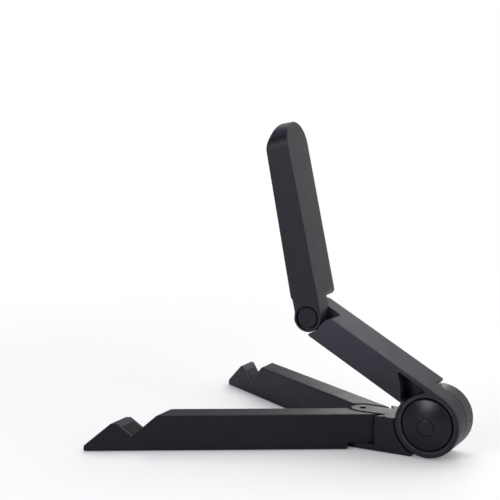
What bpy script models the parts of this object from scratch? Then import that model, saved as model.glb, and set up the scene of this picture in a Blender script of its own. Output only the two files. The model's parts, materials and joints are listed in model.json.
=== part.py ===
"""Folding tablet stand: a hub block, two legs that spread apart and a two-section arm.

Frame: +Z up with the floor at z = 0 and the origin under the middle of the stand. The hub's axis runs
along X at the back, towards +Y, and the legs reach towards -Y, where the tablet stands. The right side
is +X. Lengths below are measured from the hub's axis, and the empty named stand holds it all in place.
Each joint has an empty on its axis. In that empty's own frame a leg or an arm section lies folded
flat, pointing along -Y, and the empty turns it to the open pose.
"""

import math

import bmesh
import bpy
from mathutils import Matrix, Vector

MM = 0.001
GAP = 0.3 * MM  # clearance between neighbouring pieces
SLACK = 1 * MM  # how far a cutter reaches past the face it opens

# The whole stand
HUB_Y = 64.13 * MM  # the hub's axis is this far behind the middle of the stand
HALF_WIDTH = 10.75 * MM  # of the hub and the arm
SOLE = 0.3 * MM  # the rubber feet hold the legs and the block this far off the floor
EDGE = 0.6 * MM  # radius of the moulded outer edges

# The open pose, in degrees
ARM_RISE = 29.1  # lower arm above the floor's plane
ELBOW_FOLD = 47.5  # upper arm, turned back from the lower arm's line
LEG_SPREAD = 31.1  # each leg from the straight-ahead line

# Hub, turning about X
HUB_RADIUS = 15.75 * MM
HUB_Z = SOLE + 0.3 * MM + HUB_RADIUS
HUB_SEAM_X = -0.6 * MM  # the arm's ring is right of this plane, the block's ear left of it
RING_CLEARANCE = 16.3 * MM  # hollow in the block, round the arm's ring
EAR_CLEARANCE = 16.6 * MM  # hollow in the arm, round the block's ear
ARM_END_Y = -8.1 * MM  # the arm's left half stops here, square, behind the ear
SEAM = 0.5 * MM  # between the arm's ring and the block's ear
CAP_RECESS_RADIUS = 12.9 * MM
CAP_RECESS_MOUTH = 13.8 * MM  # radius of the recess at the ring's face, where it flares
CAP_RADIUS = 12.2 * MM
CAP_DOME = 2.2 * MM
LEFT_CAP_DOME = 1.2 * MM
CAP_EDGE = 0.4 * MM  # chamfer of the caps' rims
PLUG_RADIUS = 4.0 * MM
PLUG_DROP = 1.0 * MM  # the plug sits this far under the cap's middle
HUB_HEAD_RADIUS = 6.0 * MM
HUB_NUT_RADIUS = 6.4 * MM  # across its corners
HUB_DISC_RADIUS = 9.5 * MM
HUB_SHANK_RADIUS = 3.0 * MM
HUB_DISC_SEAT = 0.75 * MM  # this and the next four are distances along the axis, right positive
HUB_HEAD_SEAT = 3.5 * MM
RIGHT_RECESS_FLOOR = 7.0 * MM
HUB_NUT_SEAT = -4.5 * MM
LEFT_RECESS_FLOOR = -8.6 * MM

# Arm
ARM_THICKNESS = 14.4 * MM
ARM_LENGTH = 75.4 * MM  # from the hub's axis to the elbow's
ELBOW_LIFT = HUB_RADIUS - ARM_THICKNESS / 2  # the elbow's axis lies this far off the hub's
UPPER_LENGTH = 93.6 * MM  # from the elbow's axis to the tip
UPPER_BACK = 7.4 * MM  # at the elbow
TIP_BACK = 7.9 * MM  # at the tip
TIP_HALF_WIDTH = 11.4 * MM
UPPER_FRONT = 7.0 * MM  # at the elbow; the front slopes in towards the tip
UPPER_TAPER = 0.036
UPPER_EAR_RADIUS = 7.0 * MM
LOWER_EAR_RADIUS = ARM_THICKNESS / 2
TIP_FACET_START = 84.0 * MM  # from here the front is cut back, so that the tip lies flat on a tablet
TIP_FACET_LIFT = 5.0 * MM  # how far it is cut back at the very end
UPPER_SHOULDER = 7.9 * MM  # where the upper arm's left half ends above the lower arm's ear
ELBOW_RECESS_RADIUS = 5.8 * MM
ELBOW_CAP_RADIUS = 5.0 * MM
ELBOW_HEAD_RADIUS = 3.6 * MM
ELBOW_NUT_RADIUS = 4.0 * MM  # across its corners
ELBOW_DISC_RADIUS = 5.0 * MM
ELBOW_SHANK_RADIUS = 2.0 * MM
ELBOW_DISC_SEAT = 1.35 * MM  # this and the next three are distances along the axis, right positive
ELBOW_HEAD_SEAT = 6.2 * MM
ELBOW_RECESS_FLOOR = 9.0 * MM  # on the left it lies as far the other way
ELBOW_NUT_SEAT = -5.0 * MM

# Legs, turning about one upright screw
PIVOT_Y = -36.0 * MM
LEG_TOP = 17.4 * MM
LEG_INNER = 0.4 * MM  # folded, a leg lies between these two distances from the middle
LEG_OUTER = 12.1 * MM
LEG_REAR_RADIUS = 14.6 * MM
LEG_EAR_RADIUS = 7.0 * MM
EAR_POCKET_RADIUS = 7.4 * MM
TIP_Y = -144.0 * MM
NOTCH_Y = -124.7 * MM
NOTCH_Z = 7.4 * MM
LIP_Z = 13.6 * MM  # top of the hook in front of the notch
LEG_SCREW_RADIUS = 1.4 * MM

# Clevis of the block: a lip under the legs and a tongue over them
BLOCK_TOP = 17.4 * MM
BLOCK_HEEL_Y = -7.0 * MM
LIP_TOP = 3.4 * MM
LIP_RADIUS = 13.9 * MM
TONGUE_BOTTOM = 13.5 * MM
TONGUE_RADIUS = 5.4 * MM
MOUTH_RADIUS = 15.0 * MM
RIGHT_EAR = (3.7 * MM, 7.7 * MM)  # bottom and top of the right leg's ear
LEFT_EAR = (8.9 * MM, 12.4 * MM)

# Rubber
FOOT_HEIGHT = 1.05 * MM
FOOT_RADIUS = 3.0 * MM
PAD_PROUD = 0.25 * MM
PAD_THICKNESS = 1.1 * MM
PAD_ON_SLANT = 9.6 * MM  # length of the lining up the notch's rear face
PAD_ON_HOOK = 5.6 * MM
PAD_WALL = 1.9 * MM  # the lining stops this far inside the leg's sides

FINE = 64  # sides of the hub's rounds
MEDIUM = 40  # sides of the elbow's and the legs' rounds
COARSE = 24  # sides of small bores and hidden hardware

PLASTIC = ("charcoal_plastic", (0.030, 0.030, 0.034), 0.55, 0.0)
CAP_PLASTIC = ("cap_plastic", (0.024, 0.024, 0.028), 0.42, 0.0)
RUBBER = ("black_rubber", (0.012, 0.012, 0.013), 0.80, 0.0)
STEEL = ("zinc_plated_steel", (0.56, 0.56, 0.58), 0.32, 1.0)
ACETAL = ("white_acetal", (0.70, 0.69, 0.66), 0.45, 0.0)

# Turns a prism drawn in XY and pushed up Z onto the axis that it is to run along.
TURN = {
    "Z": Matrix.Identity(4),
    "X": Matrix(((0, 0, 1, 0), (1, 0, 0, 0), (0, 1, 0, 0), (0, 0, 0, 1))),
}

for leftover in list(bpy.data.objects):
    bpy.data.objects.remove(leftover)


def new_collection(name, hidden=False):
    collection = bpy.data.collections.new(name)
    collection.hide_render = hidden
    bpy.context.scene.collection.children.link(collection)
    return collection


PARTS = new_collection("tablet_stand")
CUTTERS = new_collection("cutters", hidden=True)


def new_empty(name, location, turn=(0, 0, 0), parent=None):
    empty = bpy.data.objects.new(name, None)
    empty.location = location
    empty.rotation_euler = [math.radians(angle) for angle in turn]
    empty.parent = parent
    empty.empty_display_size = 10 * MM
    PARTS.objects.link(empty)
    return empty


STAND = new_empty("stand", (0, HUB_Y, 0))


def new_material(name, colour, roughness, metallic):
    material = bpy.data.materials.get(name) or bpy.data.materials.new(name)
    material.use_nodes = True
    shader = material.node_tree.nodes["Principled BSDF"]
    shader.inputs["Base Color"].default_value = (*colour, 1)
    shader.inputs["Roughness"].default_value = roughness
    shader.inputs["Metallic"].default_value = metallic
    material.diffuse_color = (*colour, 1)
    return material


def new_object(name, mesh, parent):
    made = bpy.data.objects.new(name, mesh)
    made.parent = parent or STAND
    CUTTERS.objects.link(made)
    made.hide_render = True
    made.display_type = "WIRE"
    return made


# --- Outlines, as lists of points in a plane --------------------------------------------------


def arc(centre, radius, start, end, sides):
    """Points of a circular arc, from the angle start to the angle end, in degrees."""
    count = max(2, round(abs(end - start) / 360 * sides))
    angles = [math.radians(start + (end - start) * step / count) for step in range(count + 1)]
    return [(centre[0] + radius * math.cos(a), centre[1] + radius * math.sin(a)) for a in angles]


def bowed(start, end, bulge, steps):
    """Points of a shallow bow from start to end, standing out by bulge to the left of that way."""
    across = (end[0] - start[0], end[1] - start[1])
    length = math.hypot(*across)
    points = []
    for step in range(steps + 1):
        part = step / steps
        out = 4 * bulge * part * (1 - part) / length
        along = (start[0] + across[0] * part, start[1] + across[1] * part)
        points.append((along[0] - across[1] * out, along[1] + across[0] * out))
    return points


def stadium(x_low, x_high, y_low, y_high):
    """A slot outline: a box along Y whose two ends are half circles."""
    middle = (x_low + x_high) / 2
    radius = (x_high - x_low) / 2
    front = arc((middle, y_low + radius), radius, 180, 360, COARSE)
    back = arc((middle, y_high - radius), radius, 0, 180, COARSE)
    return front + back


def mirrored(outline, side):
    return [(side * x, y) for x, y in outline]


# --- Solids -----------------------------------------------------------------------------------


def prism(name, outline, low, high, along, parent=None):
    """A flat outline pushed from low to high: drawn in XY for along Z, and in YZ for along X."""
    curve = bpy.data.curves.new(name, "CURVE")
    curve.dimensions = "2D"
    curve.fill_mode = "BOTH"
    curve.extrude = (high - low) / 2
    spline = curve.splines.new("POLY")
    spline.points.add(len(outline) - 1)
    for point, (across, up) in zip(spline.points, outline):
        point.co = (across, up, 0, 1)
    spline.use_cyclic_u = True
    flat = bpy.data.objects.new(name, curve)
    CUTTERS.objects.link(flat)
    graph = bpy.context.evaluated_depsgraph_get()
    mesh = bpy.data.meshes.new_from_object(flat.evaluated_get(graph))
    bpy.data.objects.remove(flat)
    solid = bmesh.new()
    solid.from_mesh(mesh)
    bmesh.ops.remove_doubles(solid, verts=solid.verts, dist=0.001 * MM)
    bmesh.ops.dissolve_limit(solid, angle_limit=math.radians(0.1), verts=solid.verts, edges=solid.edges)
    lift = Matrix.Translation((0, 0, (low + high) / 2))
    bmesh.ops.transform(solid, matrix=TURN[along] @ lift, verts=solid.verts)
    bmesh.ops.recalc_face_normals(solid, faces=solid.faces)
    solid.to_mesh(mesh)
    solid.free()
    return new_object(name, mesh, parent)


def cylinder(name, radius, low, high, along, centre=(0, 0, 0), parent=None, sides=COARSE):
    """A round bar along X or Z, from low to high on that axis, through centre."""
    solid = bmesh.new()
    bmesh.ops.create_cone(
        solid, cap_ends=True, segments=sides, radius1=radius, radius2=radius, depth=high - low
    )
    lift = Matrix.Translation((0, 0, (low + high) / 2))
    place = Matrix.Translation(centre) @ TURN[along] @ lift
    bmesh.ops.transform(solid, matrix=place, verts=solid.verts)
    mesh = bpy.data.meshes.new(name)
    solid.to_mesh(mesh)
    solid.free()
    return new_object(name, mesh, parent)


def box(name, low, high, parent=None):
    solid = bmesh.new()
    bmesh.ops.create_cube(solid, size=1)
    size = Matrix.Diagonal([b - a for a, b in zip(low, high)] + [1])
    place = Matrix.Translation([(a + b) / 2 for a, b in zip(low, high)]) @ size
    bmesh.ops.transform(solid, matrix=place, verts=solid.verts)
    mesh = bpy.data.meshes.new(name)
    solid.to_mesh(mesh)
    solid.free()
    return new_object(name, mesh, parent)


def turned(name, profile, along, parent=None, closed=False, sides=COARSE):
    """A profile of (radius, height) points, turned round X or Z. It runs down its outer side."""
    mesh = bpy.data.meshes.new(name)
    points = [(radius, 0, height) for radius, height in profile]
    edges = [(step, step + 1) for step in range(len(points) - 1)]
    if closed:
        edges.append((len(points) - 1, 0))
    mesh.from_pydata(points, edges, [])
    made = new_object(name, mesh, parent)
    if along == "X":
        made.rotation_euler = (0, math.pi / 2, 0)
    screw = made.modifiers.new("turn", "SCREW")
    screw.axis = "Z"
    screw.steps = sides
    screw.render_steps = sides
    screw.use_merge_vertices = True
    screw.merge_threshold = 0.001 * MM
    return made


def stepped_bore(name, steps, along, parent=None, sides=COARSE):
    """A cutter of stacked cylinders: (radius, top, bottom) from the top down, each meeting the next."""
    profile = [(0, steps[0][1])]
    for radius, top, bottom in steps:
        profile += [(radius, top), (radius, bottom)]
    profile.append((0, steps[-1][2]))
    return turned(name, profile, along, parent, sides=sides)


def washer(name, inner, outer, low, high, along, parent=None, dish=0.0, sides=COARSE):
    """A flat ring, or with dish a disc spring whose rim stands lower than its bore."""
    thickness = high - low - dish
    profile = [(inner, high), (outer, high - dish), (outer, high - dish - thickness)]
    profile.append((inner, high - thickness))
    return turned(name, profile, along, parent, closed=True, sides=sides)


def combine(target, tool, operation):
    modifier = target.modifiers.new(tool.name, "BOOLEAN")
    modifier.operation = operation
    modifier.object = tool


def cut(target, *tools):
    for tool in tools:
        combine(target, tool, "DIFFERENCE")


def trim_to(target, tool):
    combine(target, tool, "INTERSECT")


def join(target, tool):
    combine(target, tool, "UNION")


def round_edges(target, radius, segments=3, angle=40):
    bevel = target.modifiers.new("rounded edges", "BEVEL")
    bevel.width = radius
    bevel.segments = segments
    bevel.limit_method = "ANGLE"
    bevel.angle_limit = math.radians(angle)
    bevel.use_clamp_overlap = False


def make_part(made, look):
    """Turns a working solid into a part: its modifiers applied, its own material, smooth shading."""
    bpy.context.view_layer.update()
    graph = bpy.context.evaluated_depsgraph_get()
    mesh = bpy.data.meshes.new_from_object(made.evaluated_get(graph))
    made.modifiers.clear()
    made.data = mesh
    mesh.materials.clear()
    mesh.materials.append(new_material(*look))
    mesh.shade_smooth()
    mesh.set_sharp_from_angle(angle=math.radians(30))
    CUTTERS.objects.unlink(made)
    PARTS.objects.link(made)
    made.hide_render = False
    made.display_type = "TEXTURED"
    return made


# --- Hub block --------------------------------------------------------------------------------


def base_block():
    """The ear on the left, the body behind the legs, and the clevis that holds them."""
    top_angle = 180 - math.degrees(math.asin((BLOCK_TOP - HUB_Z) / HUB_RADIUS))
    lip_reach = PIVOT_Y - LIP_RADIUS - SLACK
    ear_over = arc((0, HUB_Z), HUB_RADIUS, 90, top_angle, FINE)
    body = [(lip_reach, BLOCK_TOP), (lip_reach, SOLE), (BLOCK_HEEL_Y, SOLE)]
    heel_angle = 180 + math.degrees(math.acos(-BLOCK_HEEL_Y / HUB_RADIUS))
    ear_under = arc((0, HUB_Z), HUB_RADIUS, heel_angle, 450, FINE)[:-1]
    block = prism("base_block", ear_over + body + ear_under, -HALF_WIDTH - SLACK, HALF_WIDTH + SLACK, "X")

    corner = math.degrees(math.acos(HALF_WIDTH / LIP_RADIUS))
    lip_end = arc((0, PIVOT_Y), LIP_RADIUS, -corner, corner - 180, MEDIUM)
    back = HUB_RADIUS + SLACK
    plan = [(HALF_WIDTH, back)] + lip_end + [(-HALF_WIDTH, back)]
    trim_to(block, prism("block_plan", plan, -SLACK, 2 * HUB_Z + SLACK, "Z"))
    round_edges(block, 0.5 * MM, angle=60)

    ear_face = HUB_SEAM_X - SEAM / 2
    right = HALF_WIDTH + SLACK
    axis = (0, 0, HUB_Z)
    cut(block, cylinder("ring_hollow", RING_CLEARANCE, ear_face, right, "X", axis, sides=FINE))

    pivot = (0, PIVOT_Y, 0)
    cut(block, cylinder("mouth", MOUTH_RADIUS, LIP_TOP, TONGUE_BOTTOM, "Z", pivot, sides=FINE))
    root = math.degrees(math.acos(TONGUE_RADIUS / MOUTH_RADIUS))
    tongue_end = arc((0, PIVOT_Y), TONGUE_RADIUS, 0, -180, MEDIUM)
    mouth_round = arc((0, PIVOT_Y), MOUTH_RADIUS, 180 - root, 360 + root, FINE)
    over_legs = prism("mouth_top", tongue_end + mouth_round, TONGUE_BOTTOM - GAP, LEG_TOP + SLACK, "Z")
    cut(block, over_legs)

    screw_bore = cylinder("leg_screw_bore", LEG_SCREW_RADIUS + GAP, -SLACK, LEG_TOP, "Z", pivot)
    screw_seat = cylinder("leg_screw_seat", 3.7 * MM, -SLACK, 2.2 * MM, "Z", pivot)
    cut(block, screw_bore, screw_seat)
    cut(block, prism("block_foot_seat", block_foot_outline(GAP), -SLACK, FOOT_HEIGHT + GAP, "Z"))

    hub = [
        (HUB_SHANK_RADIUS + GAP, SLACK, HUB_NUT_SEAT),
        (HUB_NUT_RADIUS + 2 * GAP, HUB_NUT_SEAT, LEFT_RECESS_FLOOR),
        (CAP_RECESS_RADIUS, LEFT_RECESS_FLOOR, -HALF_WIDTH - SLACK),
    ]
    bore = stepped_bore("ear_bore", hub, "X", sides=FINE)
    bore.location = axis
    cut(block, bore)
    mark_low = (-6.4 * MM, HUB_RADIUS - 0.6 * MM, HUB_Z - 0.5 * MM)
    cut(block, box("ear_mark", mark_low, (-5.7 * MM, HUB_RADIUS + SLACK, HUB_Z + 1.1 * MM)))
    nick_low = (HALF_WIDTH - 1.6 * MM, -21.6 * MM, BLOCK_TOP - 1.0 * MM)
    cut(block, box("top_nick", nick_low, (right, -20.9 * MM, BLOCK_TOP + SLACK)))
    return make_part(block, PLASTIC)


def block_foot_outline(margin):
    half = 6.5 * MM + margin
    return stadium(-half, half, -29.0 * MM - margin, -10.5 * MM + margin)


# --- Legs -------------------------------------------------------------------------------------


def leg_side_outline():
    """Side view in YZ of both legs, spread: a flat bar with a square notch and a hook at its tip."""
    slant_top = (NOTCH_Y + LEG_TOP - NOTCH_Z, LEG_TOP)
    hook_back = (NOTCH_Y - LIP_Z + NOTCH_Z, LIP_Z)
    hook_front = (hook_back[0] - 2.2 * MM, LIP_Z)
    nose = (TIP_Y, 3.0 * MM)
    rear = PIVOT_Y + LEG_REAR_RADIUS + SLACK
    bar = [(rear, SOLE), (rear, LEG_TOP), slant_top, (NOTCH_Y, NOTCH_Z)]
    return bar + [hook_back, hook_front, nose, (TIP_Y, SOLE)]


def notch_lining(margin, outer):
    """The notch pad's outline in YZ, its outer face this far out of the notch's faces."""
    corner = math.sqrt(2)
    inner = PAD_PROUD - PAD_THICKNESS - margin
    slant = PAD_ON_SLANT / corner + margin
    hook = PAD_ON_HOOK / corner + margin
    return [
        (NOTCH_Y + slant, NOTCH_Z + outer * corner + slant),
        (NOTCH_Y, NOTCH_Z + outer * corner),
        (NOTCH_Y - hook, NOTCH_Z + outer * corner + hook),
        (NOTCH_Y - hook, NOTCH_Z + inner * corner + hook),
        (NOTCH_Y, NOTCH_Z + inner * corner),
        (NOTCH_Y + slant, NOTCH_Z + inner * corner + slant),
    ]


def leg(name, side, frame, ear):
    """One leg, side +1 for the right one. Its ear is the layer of height that turns on the screw."""
    corner = math.degrees(math.acos(LEG_OUTER / LEG_REAR_RADIUS))
    inner = math.degrees(math.acos(LEG_INNER / LEG_REAR_RADIUS))
    rear = arc((0, 0), LEG_REAR_RADIUS, corner, inner, MEDIUM)
    reach = -135 * MM
    plan = mirrored([(LEG_INNER, reach), (LEG_OUTER, reach)] + rear, side)
    made = prism(name, plan, SOLE - SLACK, LEG_TOP + SLACK, "Z", frame)
    wide = 120 * MM
    trim_to(made, prism(name + "_side_view", leg_side_outline(), -wide, wide, "X"))
    round_edges(made, EDGE)

    # Behind the screw each leg keeps to its own side of the middle, which is also the spread's stop.
    other_low = min(-side * wide, side * GAP / 2)
    other_high = max(-side * wide, side * GAP / 2)
    cut(made, box(name + "_middle", (other_low, PIVOT_Y - SLACK, -SLACK), (other_high, 0, HUB_Z * 2)))
    low, high = ear
    overlap = SLACK / 2
    rounds = {"along": "Z", "parent": frame, "sides": MEDIUM}
    join(made, cylinder(name + "_ear", LEG_EAR_RADIUS, low - overlap, high + overlap, **rounds))
    below = cylinder(name + "_below", EAR_POCKET_RADIUS, -SLACK, low, **rounds)
    above = cylinder(name + "_above", EAR_POCKET_RADIUS, high, TONGUE_BOTTOM - GAP / 2, **rounds)
    lip = cylinder(name + "_lip", LEG_REAR_RADIUS + GAP, -SLACK, LIP_TOP + GAP, "Z", parent=frame, sides=FINE)
    screw = cylinder(name + "_screw", LEG_SCREW_RADIUS + GAP, 0, LEG_TOP, "Z", parent=frame)
    cut(made, below, above, lip, screw)
    slot = TONGUE_RADIUS + 2.3 * MM
    tongue = stadium(-slot, slot, PIVOT_Y - slot, 0)
    cut(made, prism(name + "_tongue", tongue, LEFT_EAR[1] + GAP, LEG_TOP + SLACK, "Z"))

    cut(made, prism(name + "_foot_seat", foot_outline(side, GAP), -SLACK, FOOT_HEIGHT + GAP, "Z", frame))
    cut(made, notch_pad_solid(name + "_pad_seat", side, frame, GAP, 3 * MM))
    return make_part(made, PLASTIC)


def foot_outline(side, margin):
    middle = (LEG_INNER + LEG_OUTER) / 2
    half = FOOT_RADIUS + margin
    return mirrored(stadium(middle - half, middle + half, -122 * MM - margin, -97 * MM + margin), side)


def notch_pad_solid(name, side, frame, margin, outer):
    """The lining across the leg, kept inside two walls that run along it."""
    edges = (LEG_INNER + PAD_WALL - margin, LEG_OUTER - PAD_WALL + margin)
    ends = (-135 * MM, -80 * MM)
    across = [(edges[0], ends[0]), (edges[1], ends[0]), (edges[1], ends[1]), (edges[0], ends[1])]
    strip = prism(name, mirrored(across, side), 0, LEG_TOP + 5 * MM, "Z", frame)
    wide = 120 * MM
    trim_to(strip, prism(name + "_lining", notch_lining(margin, outer), -wide, wide, "X"))
    return strip


# --- Arm --------------------------------------------------------------------------------------


def lower_arm(frame):
    """Ring on the right at the hub, ear on the left at the elbow, one bar between them."""
    floor = ELBOW_LIFT - LOWER_EAR_RADIUS
    meet = 180 - math.degrees(math.asin(floor / HUB_RADIUS))
    elbow = (-ARM_LENGTH, ELBOW_LIFT)
    outline = arc(elbow, LOWER_EAR_RADIUS, 90, 270, MEDIUM) + arc((0, 0), HUB_RADIUS, meet, 450, FINE)
    arm = prism("lower_arm", outline, -HALF_WIDTH, HALF_WIDTH, "X", frame)
    round_edges(arm, EDGE)

    ring_face = HUB_SEAM_X + SEAM / 2
    left = -HALF_WIDTH - SLACK
    right = HALF_WIDTH + SLACK
    cut(arm, cylinder("ear_hollow", EAR_CLEARANCE, left, ring_face, "X", parent=frame, sides=FINE))
    cut(arm, prism("arm_end", arm_end_outline(), left, ring_face, "X", frame))
    nick_low = (-4.0 * MM, ARM_END_Y - 2.4 * MM, HUB_RADIUS - 3 * MM)
    cut(arm, box("end_nick", nick_low, (ring_face, ARM_END_Y + SLACK, HUB_RADIUS - 0.8 * MM), frame))
    cut(arm, prism("elbow_hollow", elbow_hollow(), -GAP / 2, right, "X", frame))
    pocket = prism("pocket", pocket_outline(), 1.2 * MM, right, "X", frame)
    round_edges(pocket, 0.7 * MM, 2, 50)
    cut(arm, pocket)

    hub = [
        (CAP_RECESS_RADIUS, right, RIGHT_RECESS_FLOOR),
        (HUB_HEAD_RADIUS + 2 * GAP, RIGHT_RECESS_FLOOR, HUB_HEAD_SEAT),
        (HUB_SHANK_RADIUS + GAP, HUB_HEAD_SEAT, HUB_DISC_SEAT),
        (HUB_DISC_RADIUS + GAP, HUB_DISC_SEAT, -SLACK),
    ]
    cut(arm, stepped_bore("ring_bore", hub, "X", frame, FINE))
    flare = CAP_RECESS_MOUTH - CAP_RECESS_RADIUS
    narrow = HALF_WIDTH - flare
    funnel = [(0, right), (CAP_RECESS_MOUTH + SLACK, right), (CAP_RECESS_RADIUS, narrow), (0, narrow)]
    cut(arm, turned("recess_flare", funnel, "X", frame, sides=FINE))
    ear = [
        (ELBOW_SHANK_RADIUS + GAP, SLACK, ELBOW_NUT_SEAT),
        (ELBOW_NUT_RADIUS + GAP, ELBOW_NUT_SEAT, -ELBOW_RECESS_FLOOR),
        (ELBOW_RECESS_RADIUS, -ELBOW_RECESS_FLOOR, left),
    ]
    bore = stepped_bore("lower_ear_bore", ear, "X", frame, MEDIUM)
    bore.location = (0, *elbow)
    cut(arm, bore)
    return make_part(arm, PLASTIC)


def arm_end_outline():
    """What the lower arm's left half leaves free over the ear, in YZ: a square end with a rounded corner."""
    radius = 1.3 * MM
    corner = arc((ARM_END_Y - radius, HUB_RADIUS - radius), radius, 90, 0, COARSE)
    over = HUB_RADIUS + SLACK
    return [(ARM_END_Y - radius, over)] + corner + [(ARM_END_Y, 0), (0, 0), (0, over)]


def elbow_hollow():
    """What the lower arm's right half leaves free for the upper arm's ear and back, in YZ."""
    centre = (-ARM_LENGTH, ELBOW_LIFT)
    far = -ARM_LENGTH - 2 * LOWER_EAR_RADIUS
    under = arc(centre, UPPER_EAR_RADIUS + 0.5 * MM, -52, 0, MEDIUM)
    radius = 1 * MM  # of the rounded toe below
    toe_at = (under[0][0] + radius, ELBOW_LIFT - LOWER_EAR_RADIUS + radius)
    toe = arc(toe_at, radius, -90, -180, COARSE)
    behind = [(8.0 * MM, 3.2 * MM), (8.8 * MM, 5.0 * MM), (11.2 * MM, 7.4 * MM), (13.0 * MM, 9.0 * MM)]
    slope = [(centre[0] + across, centre[1] + up) for across, up in behind]
    return [(far, -SLACK), (toe_at[0], -SLACK)] + toe + under + slope + [(far, slope[-1][1])]


def pocket_outline():
    """Curved triangle beside the ring: a wall under the arm's back, an arc round the ring, a bowed end."""
    roof = HUB_RADIUS - 2.1 * MM
    ring = arc((0, 0), 14.6 * MM, 169, 126, FINE)
    end = bowed((-24.4 * MM, 12.7 * MM), (-17.0 * MM, 3.0 * MM), 0.8 * MM, 6)
    return ring + [(-9.4 * MM, roof), (-23.6 * MM, roof)] + end


def upper_arm(frame):
    """Ear on the right at the elbow, a shoulder on the left, and a half-round tip."""
    neck = UPPER_FRONT - 1.0 * MM
    step = UPPER_FRONT - 10.5 * MM * UPPER_TAPER
    ear = arc((0, 0), UPPER_EAR_RADIUS, -95, 78, MEDIUM)
    back = [(-4.0 * MM, UPPER_BACK), (-UPPER_LENGTH, TIP_BACK), (-UPPER_LENGTH - SLACK, TIP_BACK)]
    front = [facet_point(UPPER_LENGTH + SLACK)] + facet_bend()
    front += [(-10.8 * MM, -step), (-9.6 * MM, -neck), (-3.6 * MM, -neck)]
    wide = TIP_HALF_WIDTH + SLACK
    arm = prism("upper_arm", ear + back + front, -wide, wide, "X", frame)
    tip = arc((0, -UPPER_LENGTH + TIP_HALF_WIDTH), TIP_HALF_WIDTH, 180, 360, MEDIUM)
    rear = 2 * UPPER_EAR_RADIUS
    elbow_side = [(HALF_WIDTH, -UPPER_EAR_RADIUS), (HALF_WIDTH, rear)]
    plan = tip + elbow_side + mirrored(elbow_side, -1)[::-1]
    trim_to(arm, prism("upper_plan", plan, -20 * MM, 20 * MM, "Z", frame))
    round_edges(arm, EDGE, angle=50)

    left = -HALF_WIDTH - SLACK
    right = HALF_WIDTH + SLACK
    cut(arm, prism("shoulder", shoulder_outline(), left, GAP / 2, "X", frame))
    ear = [
        (ELBOW_RECESS_RADIUS, right, ELBOW_RECESS_FLOOR),
        (ELBOW_HEAD_RADIUS + GAP, ELBOW_RECESS_FLOOR, ELBOW_HEAD_SEAT),
        (ELBOW_SHANK_RADIUS + GAP, ELBOW_HEAD_SEAT, ELBOW_DISC_SEAT),
        (ELBOW_DISC_RADIUS + GAP, ELBOW_DISC_SEAT, -SLACK),
    ]
    cut(arm, stepped_bore("upper_ear_bore", ear, "X", frame, MEDIUM))
    cut(arm, tip_pad_solid("tip_pad_seat", frame, GAP, 2 * MM))
    return make_part(arm, PLASTIC)


def facet_point(reach):
    """The point of the tip's cut-back front, in YZ, at this distance from the elbow's axis."""
    front = -UPPER_FRONT + TIP_FACET_START * UPPER_TAPER
    share = (reach - TIP_FACET_START) / (UPPER_LENGTH - TIP_FACET_START)
    return (-reach, front + TIP_FACET_LIFT * share)


def facet_bend():
    """The rounded bend from the tip's cut-back front into the arm's front, in YZ."""
    reach = 2.5 * MM
    after = Vector(facet_point(TIP_FACET_START + reach))
    bend = Vector(facet_point(TIP_FACET_START))
    before = Vector((-TIP_FACET_START + reach, bend.y - reach * UPPER_TAPER))
    shares = [step / 5 for step in range(6)]
    return [tuple(after.lerp(bend, t).lerp(bend.lerp(before, t), t)) for t in shares]


def shoulder_outline():
    """What the upper arm's left half leaves free round the lower arm's ear, its back corner rounded."""
    radius = 3.0 * MM
    centre = (-UPPER_SHOULDER - radius, UPPER_BACK - radius)
    corner = arc(centre, radius, 0, 90, COARSE)
    low = -UPPER_FRONT - 2 * SLACK
    high = UPPER_BACK + 2 * SLACK
    rear = 2 * UPPER_EAR_RADIUS
    return [(-UPPER_SHOULDER, low)] + corner + [(centre[0], high), (rear, high), (rear, low)]


def tip_pad_solid(name, frame, margin, proud):
    """The rubber pad's slab on the tip's cut-back front."""
    wide = 6.0 * MM + margin
    tall = 3.4 * MM + margin
    outline = arc((-wide + tall, 0), tall, 90, 270, COARSE) + arc((wide - tall, 0), tall, -90, 90, COARSE)
    slab = prism(name, outline, -proud, 0.8 * MM + margin, "Z", frame)
    slope = math.atan2(TIP_FACET_LIFT, UPPER_LENGTH - TIP_FACET_START)
    slab.location = (0, *facet_point(TIP_FACET_START + 4.4 * MM))
    slab.rotation_euler = (-slope, 0, 0)
    return slab


# --- Caps, bolts and washers ------------------------------------------------------------------


def dome(radius, rim, height):
    """Height of the domed cap's face at a radius."""
    return rim + height * (1 - (radius / CAP_RADIUS) ** 2)


def hub_caps(axis):
    rim = HALF_WIDTH - CAP_EDGE
    rings = [(CAP_RADIUS - CAP_EDGE) * step / 7 for step in range(8)]
    face = [(radius, dome(radius, rim, CAP_DOME)) for radius in rings]
    base = RIGHT_RECESS_FLOOR + GAP
    profile = face + [(CAP_RADIUS, rim - CAP_EDGE), (CAP_RADIUS, base), (0, base)]
    right = turned("hub_cap_right", profile, "X", axis, sides=FINE)
    plug = turned("hub_cap_plug", profile, "X", axis, sides=FINE)
    for cap, radius, shape in ((right, PLUG_RADIUS + GAP, cut), (plug, PLUG_RADIUS, trim_to)):
        middle = (0, 0, -PLUG_DROP)
        core = cylinder(cap.name + "_core", radius, 0, 2 * HALF_WIDTH, "X", middle, axis, MEDIUM)
        shape(cap, core)

    flatter = [(radius, -dome(radius, rim, LEFT_CAP_DOME)) for radius in rings]
    inside = LEFT_RECESS_FLOOR - GAP
    back = [(0, inside), (CAP_RADIUS, inside), (CAP_RADIUS, -rim + CAP_EDGE)]
    left = turned("hub_cap_left", back + flatter[::-1], "X", axis, sides=FINE)
    for cap in (right, plug, left):
        make_part(cap, CAP_PLASTIC)


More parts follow.
